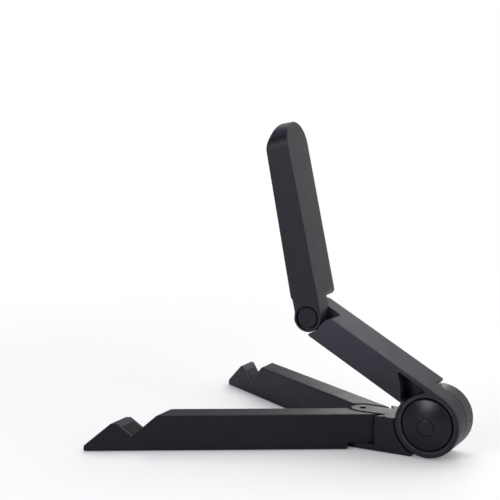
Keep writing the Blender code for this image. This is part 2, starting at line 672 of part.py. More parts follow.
def elbow_caps(axis):
    face = HALF_WIDTH - 0.1 * MM
    base = ELBOW_RECESS_FLOOR + GAP
    front = [(0, HALF_WIDTH), (ELBOW_CAP_RADIUS - CAP_EDGE, face), (ELBOW_CAP_RADIUS, face - CAP_EDGE)]
    profile = front + [(ELBOW_CAP_RADIUS, base), (0, base)]
    right = turned("elbow_cap_right", profile, "X", axis, sides=MEDIUM)
    flipped = [(radius, -height) for radius, height in reversed(profile)]
    left = turned("elbow_cap_left", flipped, "X", axis, sides=MEDIUM)
    for cap in (right, left):
        make_part(cap, CAP_PLASTIC)


def bolt(name, head_radius, shank_radius, head, end, along, axis):
    """A cap screw with a hexagon socket: head is (top, bottom), and the shank runs down to end."""
    chamfer = 0.3 * MM
    top, bottom = head
    profile = [
        (0, top), (head_radius - chamfer, top), (head_radius, top - chamfer), (head_radius, bottom),
        (shank_radius, bottom), (shank_radius, end + chamfer), (shank_radius - chamfer, end), (0, end),
    ]
    made = turned(name, profile, along, axis)
    depth = (top - bottom) * 0.6
    reach = top + SLACK
    socket = cylinder(name + "_socket", head_radius / 2, top - depth, reach, along, parent=axis, sides=6)
    cut(made, socket)
    return make_part(made, STEEL)


def nut(name, across, bore, low, high, axis):
    made = cylinder(name, across, low, high, "X", parent=axis, sides=6)
    cut(made, cylinder(name + "_thread", bore, low - SLACK, high + SLACK, "X", parent=axis))
    return make_part(made, STEEL)


def hub_hardware(axis):
    head = (6.8 * MM, 3.8 * MM)
    bolt("hub_bolt", HUB_HEAD_RADIUS, HUB_SHANK_RADIUS, head, -8.3 * MM, "X", axis)
    bore = HUB_SHANK_RADIUS + GAP
    nut("hub_nut", HUB_NUT_RADIUS, bore, -8.3 * MM, -6.0 * MM, axis)
    spring = washer("hub_spring_washer", bore, HUB_NUT_RADIUS, -5.75 * MM, -4.75 * MM, "X", axis, 0.4 * MM)
    make_part(spring, STEEL)
    disc = washer("hub_friction_disc", bore, HUB_DISC_RADIUS, -0.45 * MM, 0.45 * MM, "X", axis, sides=MEDIUM)
    make_part(disc, ACETAL)


def elbow_hardware(axis):
    head = (8.7 * MM, 6.5 * MM)
    bolt("elbow_bolt", ELBOW_HEAD_RADIUS, ELBOW_SHANK_RADIUS, head, -8.3 * MM, "X", axis)
    bore = ELBOW_SHANK_RADIUS + GAP
    nut("elbow_nut", ELBOW_NUT_RADIUS, bore, -8.3 * MM, -6.3 * MM, axis)
    spring = washer("elbow_spring_washer", bore, 3.9 * MM, -6.0 * MM, -5.25 * MM, "X", axis, 0.3 * MM)
    make_part(spring, STEEL)
    disc = washer("elbow_friction_disc", bore, ELBOW_DISC_RADIUS, 0.15 * MM, 1.05 * MM, "X", axis)
    make_part(disc, ACETAL)


def leg_hardware(axis):
    """The screw comes up through the lip and both ears, and its end shows in the tongue."""
    chamfer = 0.3 * MM
    head_top = 1.9 * MM
    head_low = 0.6 * MM
    end = BLOCK_TOP - 1.4 * MM
    profile = [
        (0, end), (LEG_SCREW_RADIUS - chamfer, end), (LEG_SCREW_RADIUS, end - chamfer),
        (LEG_SCREW_RADIUS, head_top), (3.4 * MM, head_top), (3.4 * MM, head_low + chamfer),
        (3.1 * MM, head_low), (0, head_low),
    ]
    screw = turned("leg_screw", profile, "Z", axis)
    slot = cylinder("leg_screw_socket", 1.6 * MM, -SLACK, head_low + 0.8 * MM, "Z", parent=axis, sides=6)
    cut(screw, slot)
    make_part(screw, STEEL)
    bore = LEG_SCREW_RADIUS + GAP
    layer = (RIGHT_EAR[1] + GAP, LEFT_EAR[0] - GAP)
    make_part(washer("leg_friction_washer", bore, 5.8 * MM, *layer, "Z", axis), ACETAL)
    play = 0.25 * MM
    layer = (LEFT_EAR[1] + play, TONGUE_BOTTOM - play)
    make_part(washer("leg_spring_washer", bore, 4.6 * MM, *layer, "Z", axis, dish=play), STEEL)


# --- Rubber -----------------------------------------------------------------------------------


def foot(name, outline, frame=None):
    pad = prism(name, outline, 0, FOOT_HEIGHT, "Z", frame)
    return make_part(pad, RUBBER)


# --- The stand --------------------------------------------------------------------------------

hub_axis = new_empty("hub_axis", (0, 0, HUB_Z), parent=STAND)
arm_joint = new_empty("arm_joint", (0, 0, 0), (-ARM_RISE, 0, 0), hub_axis)
elbow_axis = new_empty("elbow_axis", (0, -ARM_LENGTH, ELBOW_LIFT), parent=arm_joint)
elbow_joint = new_empty("elbow_joint", (0, 0, 0), (-ELBOW_FOLD, 0, 0), elbow_axis)
leg_axis = new_empty("leg_axis", (0, PIVOT_Y, 0), parent=STAND)
right_leg_joint = new_empty("right_leg_joint", (0, 0, 0), (0, 0, LEG_SPREAD), leg_axis)
left_leg_joint = new_empty("left_leg_joint", (0, 0, 0), (0, 0, -LEG_SPREAD), leg_axis)
bpy.context.view_layer.update()

base_block()
lower_arm(arm_joint)
upper_arm(elbow_joint)
hub_caps(hub_axis)
hub_hardware(hub_axis)
elbow_caps(elbow_axis)
elbow_hardware(elbow_axis)
leg_hardware(leg_axis)
foot("block_foot", block_foot_outline(0))
make_part(tip_pad_solid("arm_tip_pad", elbow_joint, 0, 1.0 * MM), RUBBER)
for word, sign, joint, layer in (
    ("right", 1, right_leg_joint, RIGHT_EAR),
    ("left", -1, left_leg_joint, LEFT_EAR),
):
    leg(word + "_leg", sign, joint, layer)
    foot(word + "_leg_foot", foot_outline(sign, 0), joint)
    make_part(notch_pad_solid(word + "_notch_pad", sign, joint, 0, PAD_PROUD), RUBBER)
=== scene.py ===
"""The look of the folding tablet stand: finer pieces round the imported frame, materials, light and camera.

Frame: +Z up with the floor at z = 0 and the origin under the middle of the stand. Each piece is made
again here at a finer grain than its CAD node, in the same place and size, and rides on the same body.
"""

import json
import math

import bmesh
import bpy
from mathutils import Matrix, Vector

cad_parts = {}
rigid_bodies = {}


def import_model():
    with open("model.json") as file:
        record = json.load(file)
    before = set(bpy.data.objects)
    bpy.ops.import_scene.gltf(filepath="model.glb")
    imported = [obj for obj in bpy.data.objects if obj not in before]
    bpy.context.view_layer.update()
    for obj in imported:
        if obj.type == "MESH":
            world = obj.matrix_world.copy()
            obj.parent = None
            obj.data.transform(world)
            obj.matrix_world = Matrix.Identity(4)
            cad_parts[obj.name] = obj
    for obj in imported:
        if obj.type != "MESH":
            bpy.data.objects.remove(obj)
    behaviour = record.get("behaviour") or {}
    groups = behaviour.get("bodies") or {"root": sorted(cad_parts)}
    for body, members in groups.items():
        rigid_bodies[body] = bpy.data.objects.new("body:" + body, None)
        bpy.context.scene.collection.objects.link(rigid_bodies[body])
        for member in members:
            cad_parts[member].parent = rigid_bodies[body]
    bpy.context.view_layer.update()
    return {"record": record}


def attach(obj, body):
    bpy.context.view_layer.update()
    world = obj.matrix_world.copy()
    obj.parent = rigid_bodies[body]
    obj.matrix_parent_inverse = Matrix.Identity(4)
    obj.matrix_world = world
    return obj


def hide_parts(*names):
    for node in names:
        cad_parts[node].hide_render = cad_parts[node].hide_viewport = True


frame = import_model()

MM = 0.001
GAP = 0.3 * MM  # clearance between neighbouring pieces
SLACK = 1 * MM  # how far a cutter reaches past the face it opens

# The whole stand
HUB_Y = 64.13 * MM  # the hub's axis is this far behind the middle of the stand
HALF_WIDTH = 10.75 * MM  # of the hub and the arm
SOLE = 0.3 * MM  # the rubber feet hold the legs and the block this far off the floor
EDGE = 0.6 * MM  # radius of the arms' and the legs' moulded outer edges
BLOCK_EDGE = 0.5 * MM
PAST_STAND = 120 * MM  # further out than either spread leg reaches sideways

# The open pose, in degrees
ARM_RISE = 29.1  # lower arm above the floor's plane
ELBOW_FOLD = 47.5  # upper arm, turned back from the lower arm's line
LEG_SPREAD = 31.1  # each leg from the straight-ahead line

# Hub, turning about X
HUB_RADIUS = 15.75 * MM
HUB_Z = SOLE + 0.3 * MM + HUB_RADIUS
HUB_SEAM_X = -0.6 * MM  # the arm's ring is right of this plane, the block's ear left of it
RING_CLEARANCE = 16.3 * MM  # hollow in the block, round the arm's ring
EAR_CLEARANCE = 16.6 * MM  # hollow in the arm, round the block's ear
ARM_END_Y = -8.1 * MM  # the arm's left half stops here, square, behind the ear
SEAM = 0.5 * MM  # between the arm's ring and the block's ear
CAP_RECESS_RADIUS = 12.9 * MM
CAP_RECESS_MOUTH = 13.8 * MM  # radius of the recess at the ring's face, where it flares
CAP_RADIUS = 12.2 * MM
CAP_DOME = 2.2 * MM
LEFT_CAP_DOME = 1.2 * MM
CAP_EDGE = 0.4 * MM  # chamfer of the caps' rims
PLUG_RADIUS = 4.0 * MM
PLUG_DROP = 1.0 * MM  # the plug sits this far under the cap's middle
HUB_HEAD_RADIUS = 6.0 * MM
HUB_NUT_RADIUS = 6.4 * MM  # across its corners
HUB_DISC_RADIUS = 9.5 * MM
HUB_SHANK_RADIUS = 3.0 * MM
HUB_DISC_SEAT = 0.75 * MM  # this and the next four are distances along the axis, right positive
HUB_HEAD_SEAT = 3.5 * MM
RIGHT_RECESS_FLOOR = 7.0 * MM
HUB_NUT_SEAT = -4.5 * MM
LEFT_RECESS_FLOOR = -8.6 * MM
POCKET_FLOOR = 1.2 * MM  # of the cored pocket beside the ring, likewise along the axis

# Arm
ARM_THICKNESS = 14.4 * MM
ARM_LENGTH = 75.4 * MM  # from the hub's axis to the elbow's
ELBOW_LIFT = HUB_RADIUS - ARM_THICKNESS / 2  # the elbow's axis lies this far off the hub's
UPPER_LENGTH = 93.6 * MM  # from the elbow's axis to the tip
UPPER_BACK = 7.4 * MM  # at the elbow
TIP_BACK = 7.9 * MM  # at the tip
TIP_HALF_WIDTH = 11.4 * MM
UPPER_FRONT = 7.0 * MM  # at the elbow; the front slopes in towards the tip
UPPER_TAPER = 0.036
UPPER_EAR_RADIUS = 7.0 * MM
LOWER_EAR_RADIUS = ARM_THICKNESS / 2
TIP_FACET_START = 84.0 * MM  # from here the front is cut back, so that the tip lies flat on a tablet
TIP_FACET_LIFT = 5.0 * MM  # how far it is cut back at the very end
TIP_PAD_HALF_WIDTH = 6.0 * MM
TIP_PAD_HALF_HEIGHT = 3.4 * MM
TIP_PAD_DEPTH = 0.8 * MM  # the pad goes this far into the arm and stands out further
TIP_PAD_PROUD = 1.0 * MM
TIP_PAD_AT = TIP_FACET_START + 4.4 * MM  # its middle, from the elbow's axis
UPPER_SHOULDER = 7.9 * MM  # where the upper arm's left half ends above the lower arm's ear
ELBOW_SEAM = 0.5 * MM  # round the upper arm's ear, in the lower arm's hollow
ELBOW_RECESS_RADIUS = 5.8 * MM
ELBOW_CAP_RADIUS = 5.0 * MM
ELBOW_HEAD_RADIUS = 3.6 * MM
ELBOW_NUT_RADIUS = 4.0 * MM  # across its corners
ELBOW_DISC_RADIUS = 5.0 * MM
ELBOW_SHANK_RADIUS = 2.0 * MM
ELBOW_DISC_SEAT = 1.35 * MM  # this and the next three are distances along the axis, right positive
ELBOW_HEAD_SEAT = 6.2 * MM
ELBOW_RECESS_FLOOR = 9.0 * MM  # on the left it lies as far the other way
ELBOW_NUT_SEAT = -5.0 * MM

# Legs, turning about one upright screw
PIVOT_Y = -36.0 * MM
LEG_TOP = 17.4 * MM
LEG_INNER = 0.4 * MM  # folded, a leg lies between these two distances from the middle
LEG_OUTER = 12.1 * MM
LEG_REAR_RADIUS = 14.6 * MM
LEG_REACH = -135 * MM  # along a leg from the screw, past the tip that its side view gives it
BEHIND_NOTCH = -80 * MM  # along a leg from the screw
LEG_EAR_RADIUS = 7.0 * MM
EAR_POCKET_RADIUS = 7.4 * MM
TIP_Y = -144.0 * MM
NOTCH_Y = -124.7 * MM
NOTCH_Z = 7.4 * MM
LIP_Z = 13.6 * MM  # top of the hook in front of the notch
HOOK_TOP = 2.2 * MM  # length of the hook's flat top
NOSE_Z = 3.0 * MM  # height of the upright end in front of the hook
LEG_SCREW_RADIUS = 1.4 * MM
LEG_HEAD_RADIUS = 3.4 * MM
LEG_HEAD_TOP = 1.9 * MM

# Clevis of the block: a lip under the legs and a tongue over them
BLOCK_TOP = 17.4 * MM
BLOCK_HEEL_Y = -7.0 * MM
LIP_TOP = 3.4 * MM
LIP_RADIUS = 13.9 * MM
TONGUE_BOTTOM = 13.5 * MM
TONGUE_RADIUS = 5.4 * MM
TONGUE_SLOT = 2.3 * MM  # open line between the tongue and the legs' tops
MOUTH_RADIUS = 15.0 * MM
RIGHT_EAR = (3.7 * MM, 7.7 * MM)  # bottom and top of the right leg's ear
LEFT_EAR = (8.9 * MM, 12.4 * MM)

# Rubber
FOOT_HEIGHT = 1.05 * MM
FOOT_RADIUS = 3.0 * MM
LEG_FOOT_ENDS = (-122 * MM, -97 * MM)  # along Y
BLOCK_FOOT_RADIUS = 6.5 * MM
BLOCK_FOOT_ENDS = (-29.0 * MM, -10.5 * MM)  # along Y
PAD_PROUD = 0.25 * MM
PAD_THICKNESS = 1.1 * MM
PAD_ON_SLANT = 9.6 * MM  # length of the lining up the notch's rear face
PAD_ON_HOOK = 5.6 * MM
PAD_WALL = 1.9 * MM  # the lining stops this far inside the leg's sides

FINE = 192  # sides of the hub's rounds
MEDIUM = 120  # sides of the elbow's and the legs' rounds
COARSE = 48  # sides of small bores and hidden hardware

# Turns a prism drawn in XY and pushed up Z onto the axis that it is to run along.
TURN = {
    "Z": Matrix.Identity(4),
    "X": Matrix(((0, 0, 1, 0), (1, 0, 0, 0), (0, 1, 0, 0), (0, 0, 0, 1))),
}


def new_collection(name, hidden=False):
    collection = bpy.data.collections.new(name)
    collection.hide_render = hidden
    bpy.context.scene.collection.children.link(collection)
    return collection


PARTS = new_collection("tablet_stand")
CUTTERS = new_collection("cutters", hidden=True)


def new_empty(name, location, turn=(0, 0, 0), parent=None):
    empty = bpy.data.objects.new(name, None)
    empty.location = location
    empty.rotation_euler = [math.radians(angle) for angle in turn]
    empty.parent = parent
    empty.empty_display_size = 10 * MM
    PARTS.objects.link(empty)
    return empty


STAND = new_empty("stand", (0, HUB_Y, 0))


def new_object(name, mesh, parent):
    made = bpy.data.objects.new(name, mesh)
    made.parent = parent or STAND
    CUTTERS.objects.link(made)
    made.hide_render = True
    made.display_type = "WIRE"
    return made


# --- Outlines, as lists of points in a plane --------------------------------------------------


def arc(centre, radius, start, end, sides):
    """Points of a circular arc, from the angle start to the angle end, in degrees."""
    count = max(2, round(abs(end - start) / 360 * sides))
    angles = [math.radians(start + (end - start) * step / count) for step in range(count + 1)]
    return [(centre[0] + radius * math.cos(a), centre[1] + radius * math.sin(a)) for a in angles]


def bowed(start, end, bulge, steps):
    """Points of a shallow bow from start to end, standing out by bulge to the left of that way."""
    across = (end[0] - start[0], end[1] - start[1])
    length = math.hypot(*across)
    points = []
    for step in range(steps + 1):
        part = step / steps
        out = 4 * bulge * part * (1 - part) / length
        along = (start[0] + across[0] * part, start[1] + across[1] * part)
        points.append((along[0] - across[1] * out, along[1] + across[0] * out))
    return points


def stadium(x_low, x_high, y_low, y_high):
    """A slot outline: a box along Y whose two ends are half circles."""
    middle = (x_low + x_high) / 2
    radius = (x_high - x_low) / 2
    front = arc((middle, y_low + radius), radius, 180, 360, COARSE)
    back = arc((middle, y_high - radius), radius, 0, 180, COARSE)
    return front + back


def mirrored(outline, side):
    return [(side * x, y) for x, y in outline]


# --- Solids -----------------------------------------------------------------------------------


def prism(name, outline, low, high, along, parent=None):
    """A flat outline pushed from low to high: drawn in XY for along Z, and in YZ for along X."""
    curve = bpy.data.curves.new(name, "CURVE")
    curve.dimensions = "2D"
    curve.fill_mode = "BOTH"
    curve.extrude = (high - low) / 2
    spline = curve.splines.new("POLY")
    spline.points.add(len(outline) - 1)
    for point, (across, up) in zip(spline.points, outline):
        point.co = (across, up, 0, 1)
    spline.use_cyclic_u = True
    flat = bpy.data.objects.new(name, curve)
    CUTTERS.objects.link(flat)
    graph = bpy.context.evaluated_depsgraph_get()
    mesh = bpy.data.meshes.new_from_object(flat.evaluated_get(graph))
    bpy.data.objects.remove(flat)
    solid = bmesh.new()
    solid.from_mesh(mesh)
    bmesh.ops.remove_doubles(solid, verts=solid.verts, dist=0.001 * MM)
    bmesh.ops.dissolve_limit(solid, angle_limit=math.radians(0.1), verts=solid.verts, edges=solid.edges)
    lift = Matrix.Translation((0, 0, (low + high) / 2))
    bmesh.ops.transform(solid, matrix=TURN[along] @ lift, verts=solid.verts)
    bmesh.ops.recalc_face_normals(solid, faces=solid.faces)
    solid.to_mesh(mesh)
    solid.free()
    return new_object(name, mesh, parent)


def cylinder(name, radius, low, high, along, centre=(0, 0, 0), parent=None, sides=COARSE):
    """A round bar along X or Z, from low to high on that axis, through centre."""
    solid = bmesh.new()
    bmesh.ops.create_cone(
        solid, cap_ends=True, segments=sides, radius1=radius, radius2=radius, depth=high - low
    )
    lift = Matrix.Translation((0, 0, (low + high) / 2))
    place = Matrix.Translation(centre) @ TURN[along] @ lift
    bmesh.ops.transform(solid, matrix=place, verts=solid.verts)
    mesh = bpy.data.meshes.new(name)
    solid.to_mesh(mesh)
    solid.free()
    return new_object(name, mesh, parent)


def box(name, low, high, parent=None):
    solid = bmesh.new()
    bmesh.ops.create_cube(solid, size=1)
    size = Matrix.Diagonal([b - a for a, b in zip(low, high)] + [1])
    place = Matrix.Translation([(a + b) / 2 for a, b in zip(low, high)]) @ size
    bmesh.ops.transform(solid, matrix=place, verts=solid.verts)
    mesh = bpy.data.meshes.new(name)
    solid.to_mesh(mesh)
    solid.free()
    return new_object(name, mesh, parent)


def turned(name, profile, along, parent=None, closed=False, sides=COARSE):
    """A profile of (radius, height) points, turned round X or Z. It runs down its outer side."""
    mesh = bpy.data.meshes.new(name)
    points = [(radius, 0, height) for radius, height in profile]
    edges = [(step, step + 1) for step in range(len(points) - 1)]
    if closed:
        edges.append((len(points) - 1, 0))
    mesh.from_pydata(points, edges, [])
    made = new_object(name, mesh, parent)
    if along == "X":
        made.rotation_euler = (0, math.pi / 2, 0)
    screw = made.modifiers.new("turn", "SCREW")
    screw.axis = "Z"
    screw.steps = sides
    screw.render_steps = sides
    screw.use_merge_vertices = True
    screw.merge_threshold = 0.001 * MM
    return made


def stepped_bore(name, steps, along, parent=None, sides=COARSE):
    """A cutter of stacked cylinders: (radius, top, bottom) from the top down, each meeting the next."""
    profile = [(0, steps[0][1])]
    for radius, top, bottom in steps:
        profile += [(radius, top), (radius, bottom)]
    profile.append((0, steps[-1][2]))
    return turned(name, profile, along, parent, sides=sides)


def washer(name, inner, outer, low, high, along, parent=None, dish=0.0, sides=COARSE):
    """A flat ring, or with dish a disc spring whose rim stands lower than its bore."""
    thickness = high - low - dish
    profile = [(inner, high), (outer, high - dish), (outer, high - dish - thickness)]
    profile.append((inner, high - thickness))
    return turned(name, profile, along, parent, closed=True, sides=sides)


def combine(target, tool, operation):
    modifier = target.modifiers.new(tool.name, "BOOLEAN")
    modifier.operation = operation
    modifier.object = tool


def cut(target, *tools):
    for tool in tools:
        combine(target, tool, "DIFFERENCE")


def trim_to(target, tool):
    combine(target, tool, "INTERSECT")


def join(target, tool):
    combine(target, tool, "UNION")


def round_edges(target, radius, segments=3, angle=40):
    bevel = target.modifiers.new("rounded edges", "BEVEL")
    bevel.width = radius
    bevel.segments = segments
    bevel.limit_method = "ANGLE"
    bevel.angle_limit = math.radians(angle)
    bevel.use_clamp_overlap = False


# --- Materials --------------------------------------------------------------------------------

EDGE_HIGHLIGHT_GAIN = 2.6  # painted highlight: how many times lighter than its piece an edge's colour is painted
WORN_SMOOTHER = 0.06  # how much less rough it is
HIGHLIGHT_EDGE_TURN = 0.60  # the normal of an edge with the painted highlight and the lower roughness has this much of the flat axis, give or take the spread
HIGHLIGHT_EDGE_TURN_SPREAD = 0.27
PAINTED_RISE_FROM = 22 * MM  # painted light: a long moulding is painted paler between these two heights, as if more light fell on its high end
PAINTED_RISE_TO = 60 * MM


def node(tree, kind, **values):
    """A shader node with some sockets set by name and, with a leading _, some of its own settings."""
    made = tree.nodes.new("ShaderNode" + kind)
    for key, value in values.items():
        if key.startswith("_"):
            setattr(made, key[1:], value)
        else:
            made.inputs[key.replace("_", " ")].default_value = value
    return made


def noise(tree, place, size, detail=2.0, rough=0.5, stretch=(1, 1, 1)):
    """Noise whose blobs are about size metres across."""
    spread = node(tree, "Mapping", Scale=stretch)
    tree.links.new(place, spread.inputs["Vector"])
    made = node(tree, "TexNoise", Scale=0.5 / size, Detail=detail, Roughness=rough)
    tree.links.new(spread.outputs["Vector"], made.inputs["Vector"])
    return made.outputs["Fac"]


def remap(tree, value, low, high):
    """Spreads the middle of a noise over the range from low to high."""
    made = node(tree, "MapRange", From_Min=0.3, From_Max=0.7, To_Min=low, To_Max=high)
    tree.links.new(value, made.inputs["Value"])
    return made.outputs["Result"]


def edge_highlight_and_smoothing_mask(tree, across):
    """0 on flat faces to 1 on rounded edges, where the surface turns away from the axis across: the mask of
    the edges' painted highlight and lower roughness.
    """
    turn = node(tree, "SeparateXYZ")
    tree.links.new(node(tree, "TexCoord").outputs["Normal"], turn.inputs[0])
    steep = node(tree, "Math", _operation="ABSOLUTE")
    tree.links.new(turn.outputs[across], steep.inputs[0])
    edge = node(tree, "Math", _operation="COMPARE")
    tree.links.new(steep.outputs[0], edge.inputs[0])
    edge.inputs[1].default_value = HIGHLIGHT_EDGE_TURN
    edge.inputs[2].default_value = HIGHLIGHT_EDGE_TURN_SPREAD
    patches = noise(tree, node(tree, "TexCoord").outputs["Object"], 6 * MM, 3.0, 0.6)
    highlight_and_smoothing = node(tree, "Math", _operation="MULTIPLY")
    tree.links.new(edge.outputs[0], highlight_and_smoothing.inputs[0])
    tree.links.new(remap(tree, patches, 0.6, 1.0), highlight_and_smoothing.inputs[1])
    return highlight_and_smoothing.outputs[0]


def scaled_colour(tree, colour, scale):
    made = node(tree, "VectorMath", _operation="SCALE")
    tree.links.new(colour, made.inputs[0])
    tree.links.new(scale, made.inputs["Scale"])
    return made.outputs["Vector"]


def painted_light_rise(tree, place, colour, paler):
    """The colour, painted so many times paler from the low end of a long moulding to its high end: painted
    light, as if more light fell higher up.
    """
    rise = node(tree, "SeparateXYZ")
    tree.links.new(place, rise.inputs[0])
    lift = node(tree, "MapRange", From_Min=PAINTED_RISE_FROM, From_Max=PAINTED_RISE_TO, To_Min=1.0, To_Max=paler)
    tree.links.new(rise.outputs["Z"], lift.inputs["Value"])
    return scaled_colour(tree, colour, lift.outputs["Result"])


def highlighted_smoother_edges(tree, colour, roughness, across):
    """The colour with a painted highlight on the edges, and the roughness lower there."""
    highlight_and_smoothing = edge_highlight_and_smoothing_mask(tree, across)
    # Painted highlight: the edges' colour is made several times lighter.
    gain = node(tree, "MapRange", To_Min=1.0, To_Max=EDGE_HIGHLIGHT_GAIN)
    tree.links.new(highlight_and_smoothing, gain.inputs["Value"])
    smooth = node(tree, "Math", _operation="MULTIPLY_ADD")
    smooth.inputs[1].default_value = -WORN_SMOOTHER
    tree.links.new(highlight_and_smoothing, smooth.inputs[0])
    tree.links.new(roughness, smooth.inputs[2])
    return scaled_colour(tree, colour, gain.outputs["Result"]), smooth.outputs[0]


def look(name, dark, light, rough, metal=0.0, grain=0.0, depth=0.0, strength=1.0, cloud=12 * MM,
         stretch=(1, 1, 1), specular=0.5, paler=None, across=None):
    """A moulded, rubber or metal surface: clouded colour and roughness over a fine grain.

    paler, for a long moulding, is how many times lighter it is painted from its low end to its high end, as
    painted light.
    across is the axis that its flat sides face, if its edges are to get a painted highlight and a little
    less roughness.
    """
    material = bpy.data.materials.new(name)
    material.use_nodes = True
    tree = material.node_tree
    shader = tree.nodes["Principled BSDF"]
    shader.inputs["Metallic"].default_value = metal
    shader.inputs["Specular IOR Level"].default_value = specular
    place = node(tree, "TexCoord").outputs["Object"]

    clouds = noise(tree, place, cloud, 4.0, 0.6, stretch)
    tint = node(tree, "Mix", _data_type="RGBA")
    tint.inputs["A"].default_value = (*dark, 1)
    tint.inputs["B"].default_value = (*light, 1)
    tree.links.new(remap(tree, clouds, 0, 1), tint.inputs["Factor"])
    colour = tint.outputs["Result"]
    # Painted light: the colour gets paler towards the moulding's high end.
    if paler:
        colour = painted_light_rise(tree, place, colour, paler)
    smears = noise(tree, place, cloud * 0.4, 5.0, 0.7, stretch)
    roughness = remap(tree, smears, *rough)
    # The edges get a painted highlight in their colour and a little less roughness.
    if across:
        colour, roughness = highlighted_smoother_edges(tree, colour, roughness, across)
    tree.links.new(colour, shader.inputs["Base Color"])
    tree.links.new(roughness, shader.inputs["Roughness"])

    height = noise(tree, place, grain, 3.0, 0.6, stretch)
    bump = node(tree, "Bump", Strength=strength, Distance=depth)
    tree.links.new(height, bump.inputs["Height"])
    tree.links.new(bump.outputs["Normal"], shader.inputs["Normal"])
    return material


def charcoal(name, shade, tint=(1.02, 0.92, 1.37), specular=0.15, paler=None, across="X"):
    """The moulded plastic, a violet grey near black."""
    dark = [0.0100 * shade * part for part in tint]
    light = [0.0137 * shade * part for part in tint]
    return look(name, dark, light, (0.33, 0.43), grain=0.30 * MM, depth=0.012 * MM, strength=0.55,
                specular=specular, paler=paler, across=across)


LEG_PLASTIC = charcoal("charcoal_plastic_legs", 0.8, across="Z")
LOOKS = {
    "charcoal_plastic": charcoal("charcoal_plastic", 0.8),
    "right_leg": LEG_PLASTIC,
    "left_leg": LEG_PLASTIC,
    # Painted light: the arms' copies of the plastic are painted paler than the block's and the legs'. The
    # lower arm is about twice as pale and paler still higher up, and the upper arm a little paler, for the
    # light that falls on them.
    "lower_arm": charcoal("charcoal_plastic_lower_arm", 1.65, (1.03, 0.98, 1.21), 0.07, 2.3),
    "upper_arm": charcoal("charcoal_plastic_upper_arm", 0.90, specular=0.22),
    "cap_plastic": look("cap_plastic", (0.0066, 0.0056, 0.0104), (0.0086, 0.0074, 0.0130), (0.27, 0.33),
                        grain=0.22 * MM, depth=0.006 * MM, strength=0.5, specular=0.2, across="X"),
    "black_rubber": look("black_rubber", (0.007, 0.007, 0.008), (0.011, 0.011, 0.012), (0.70, 0.86),
                         grain=0.35 * MM, depth=0.03 * MM, strength=0.8, cloud=5 * MM, specular=0.35),
    "zinc_plated_steel": look("zinc_plated_steel", (0.46, 0.46, 0.48), (0.60, 0.60, 0.61), (0.25, 0.42),
                              metal=1.0, grain=0.12 * MM, depth=0.004 * MM, strength=0.6,
                              cloud=3 * MM, stretch=(1, 1, 6)),
    "white_acetal": look("white_acetal", (0.62, 0.61, 0.58), (0.70, 0.69, 0.66), (0.38, 0.5),
                         grain=0.2 * MM, depth=0.006 * MM, strength=0.5, cloud=4 * MM),
}


def piece_facts():
    """The body and the material slot of each CAD node."""
    bodies = frame["record"]["behaviour"]["bodies"]
    body_of = {node_name: body for body, members in bodies.items() for node_name in members}
    slots = {entry["node"]: entry["material_slot"] for entry in frame["record"]["subparts"]}
    return body_of, slots


BODIES, SLOTS = piece_facts()
BREAK_ANGLE = 35  # degrees: edges that turn by more are broken, by the radii below
SMOOTH_ANGLE = 50  # degrees: faces that turn by less are shaded as one round
BREAKS = {"charcoal_plastic": 0.22 * MM, "cap_plastic": 0.15 * MM, "black_rubber": 0.2 * MM,
          "zinc_plated_steel": 0.1 * MM, "white_acetal": 0.1 * MM}


def evaluated_mesh(piece):
    bpy.context.view_layer.update()
    graph = bpy.context.evaluated_depsgraph_get()
    return bpy.data.meshes.new_from_object(piece.evaluated_get(graph))


def make_part(made):
    """Turns a working solid into a shown piece, in place of the CAD node of the same name."""
    node_name = made.name.split(".")[0]  # the CAD node holds the plain name
    mesh = evaluated_mesh(made)
    mesh.transform(made.matrix_world)
    CUTTERS.objects.unlink(made)
    piece = bpy.data.objects.new(node_name + "_piece", mesh)
    bpy.context.scene.collection.objects.link(piece)

    slot = SLOTS[node_name]
    breaks = piece.modifiers.new("broken edges", "BEVEL")
    breaks.width = BREAKS[slot]
    breaks.segments = 2
    breaks.limit_method = "ANGLE"
    breaks.angle_limit = math.radians(BREAK_ANGLE)
    breaks.use_clamp_overlap = True
    breaks.miter_outer = "MITER_SHARP"
    mesh = evaluated_mesh(piece)
    piece.modifiers.clear()
    piece.data = mesh
    mesh.materials.clear()
    mesh.materials.append(LOOKS.get(node_name, LOOKS[slot]))
    mesh.shade_smooth()
    mesh.set_sharp_from_angle(angle=math.radians(SMOOTH_ANGLE))
    even = piece.modifiers.new("flat faces", "WEIGHTED_NORMAL")
    even.keep_sharp = True
    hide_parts(node_name)
    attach(piece, BODIES[node_name])
    return piece


# --- Hub block --------------------------------------------------------------------------------


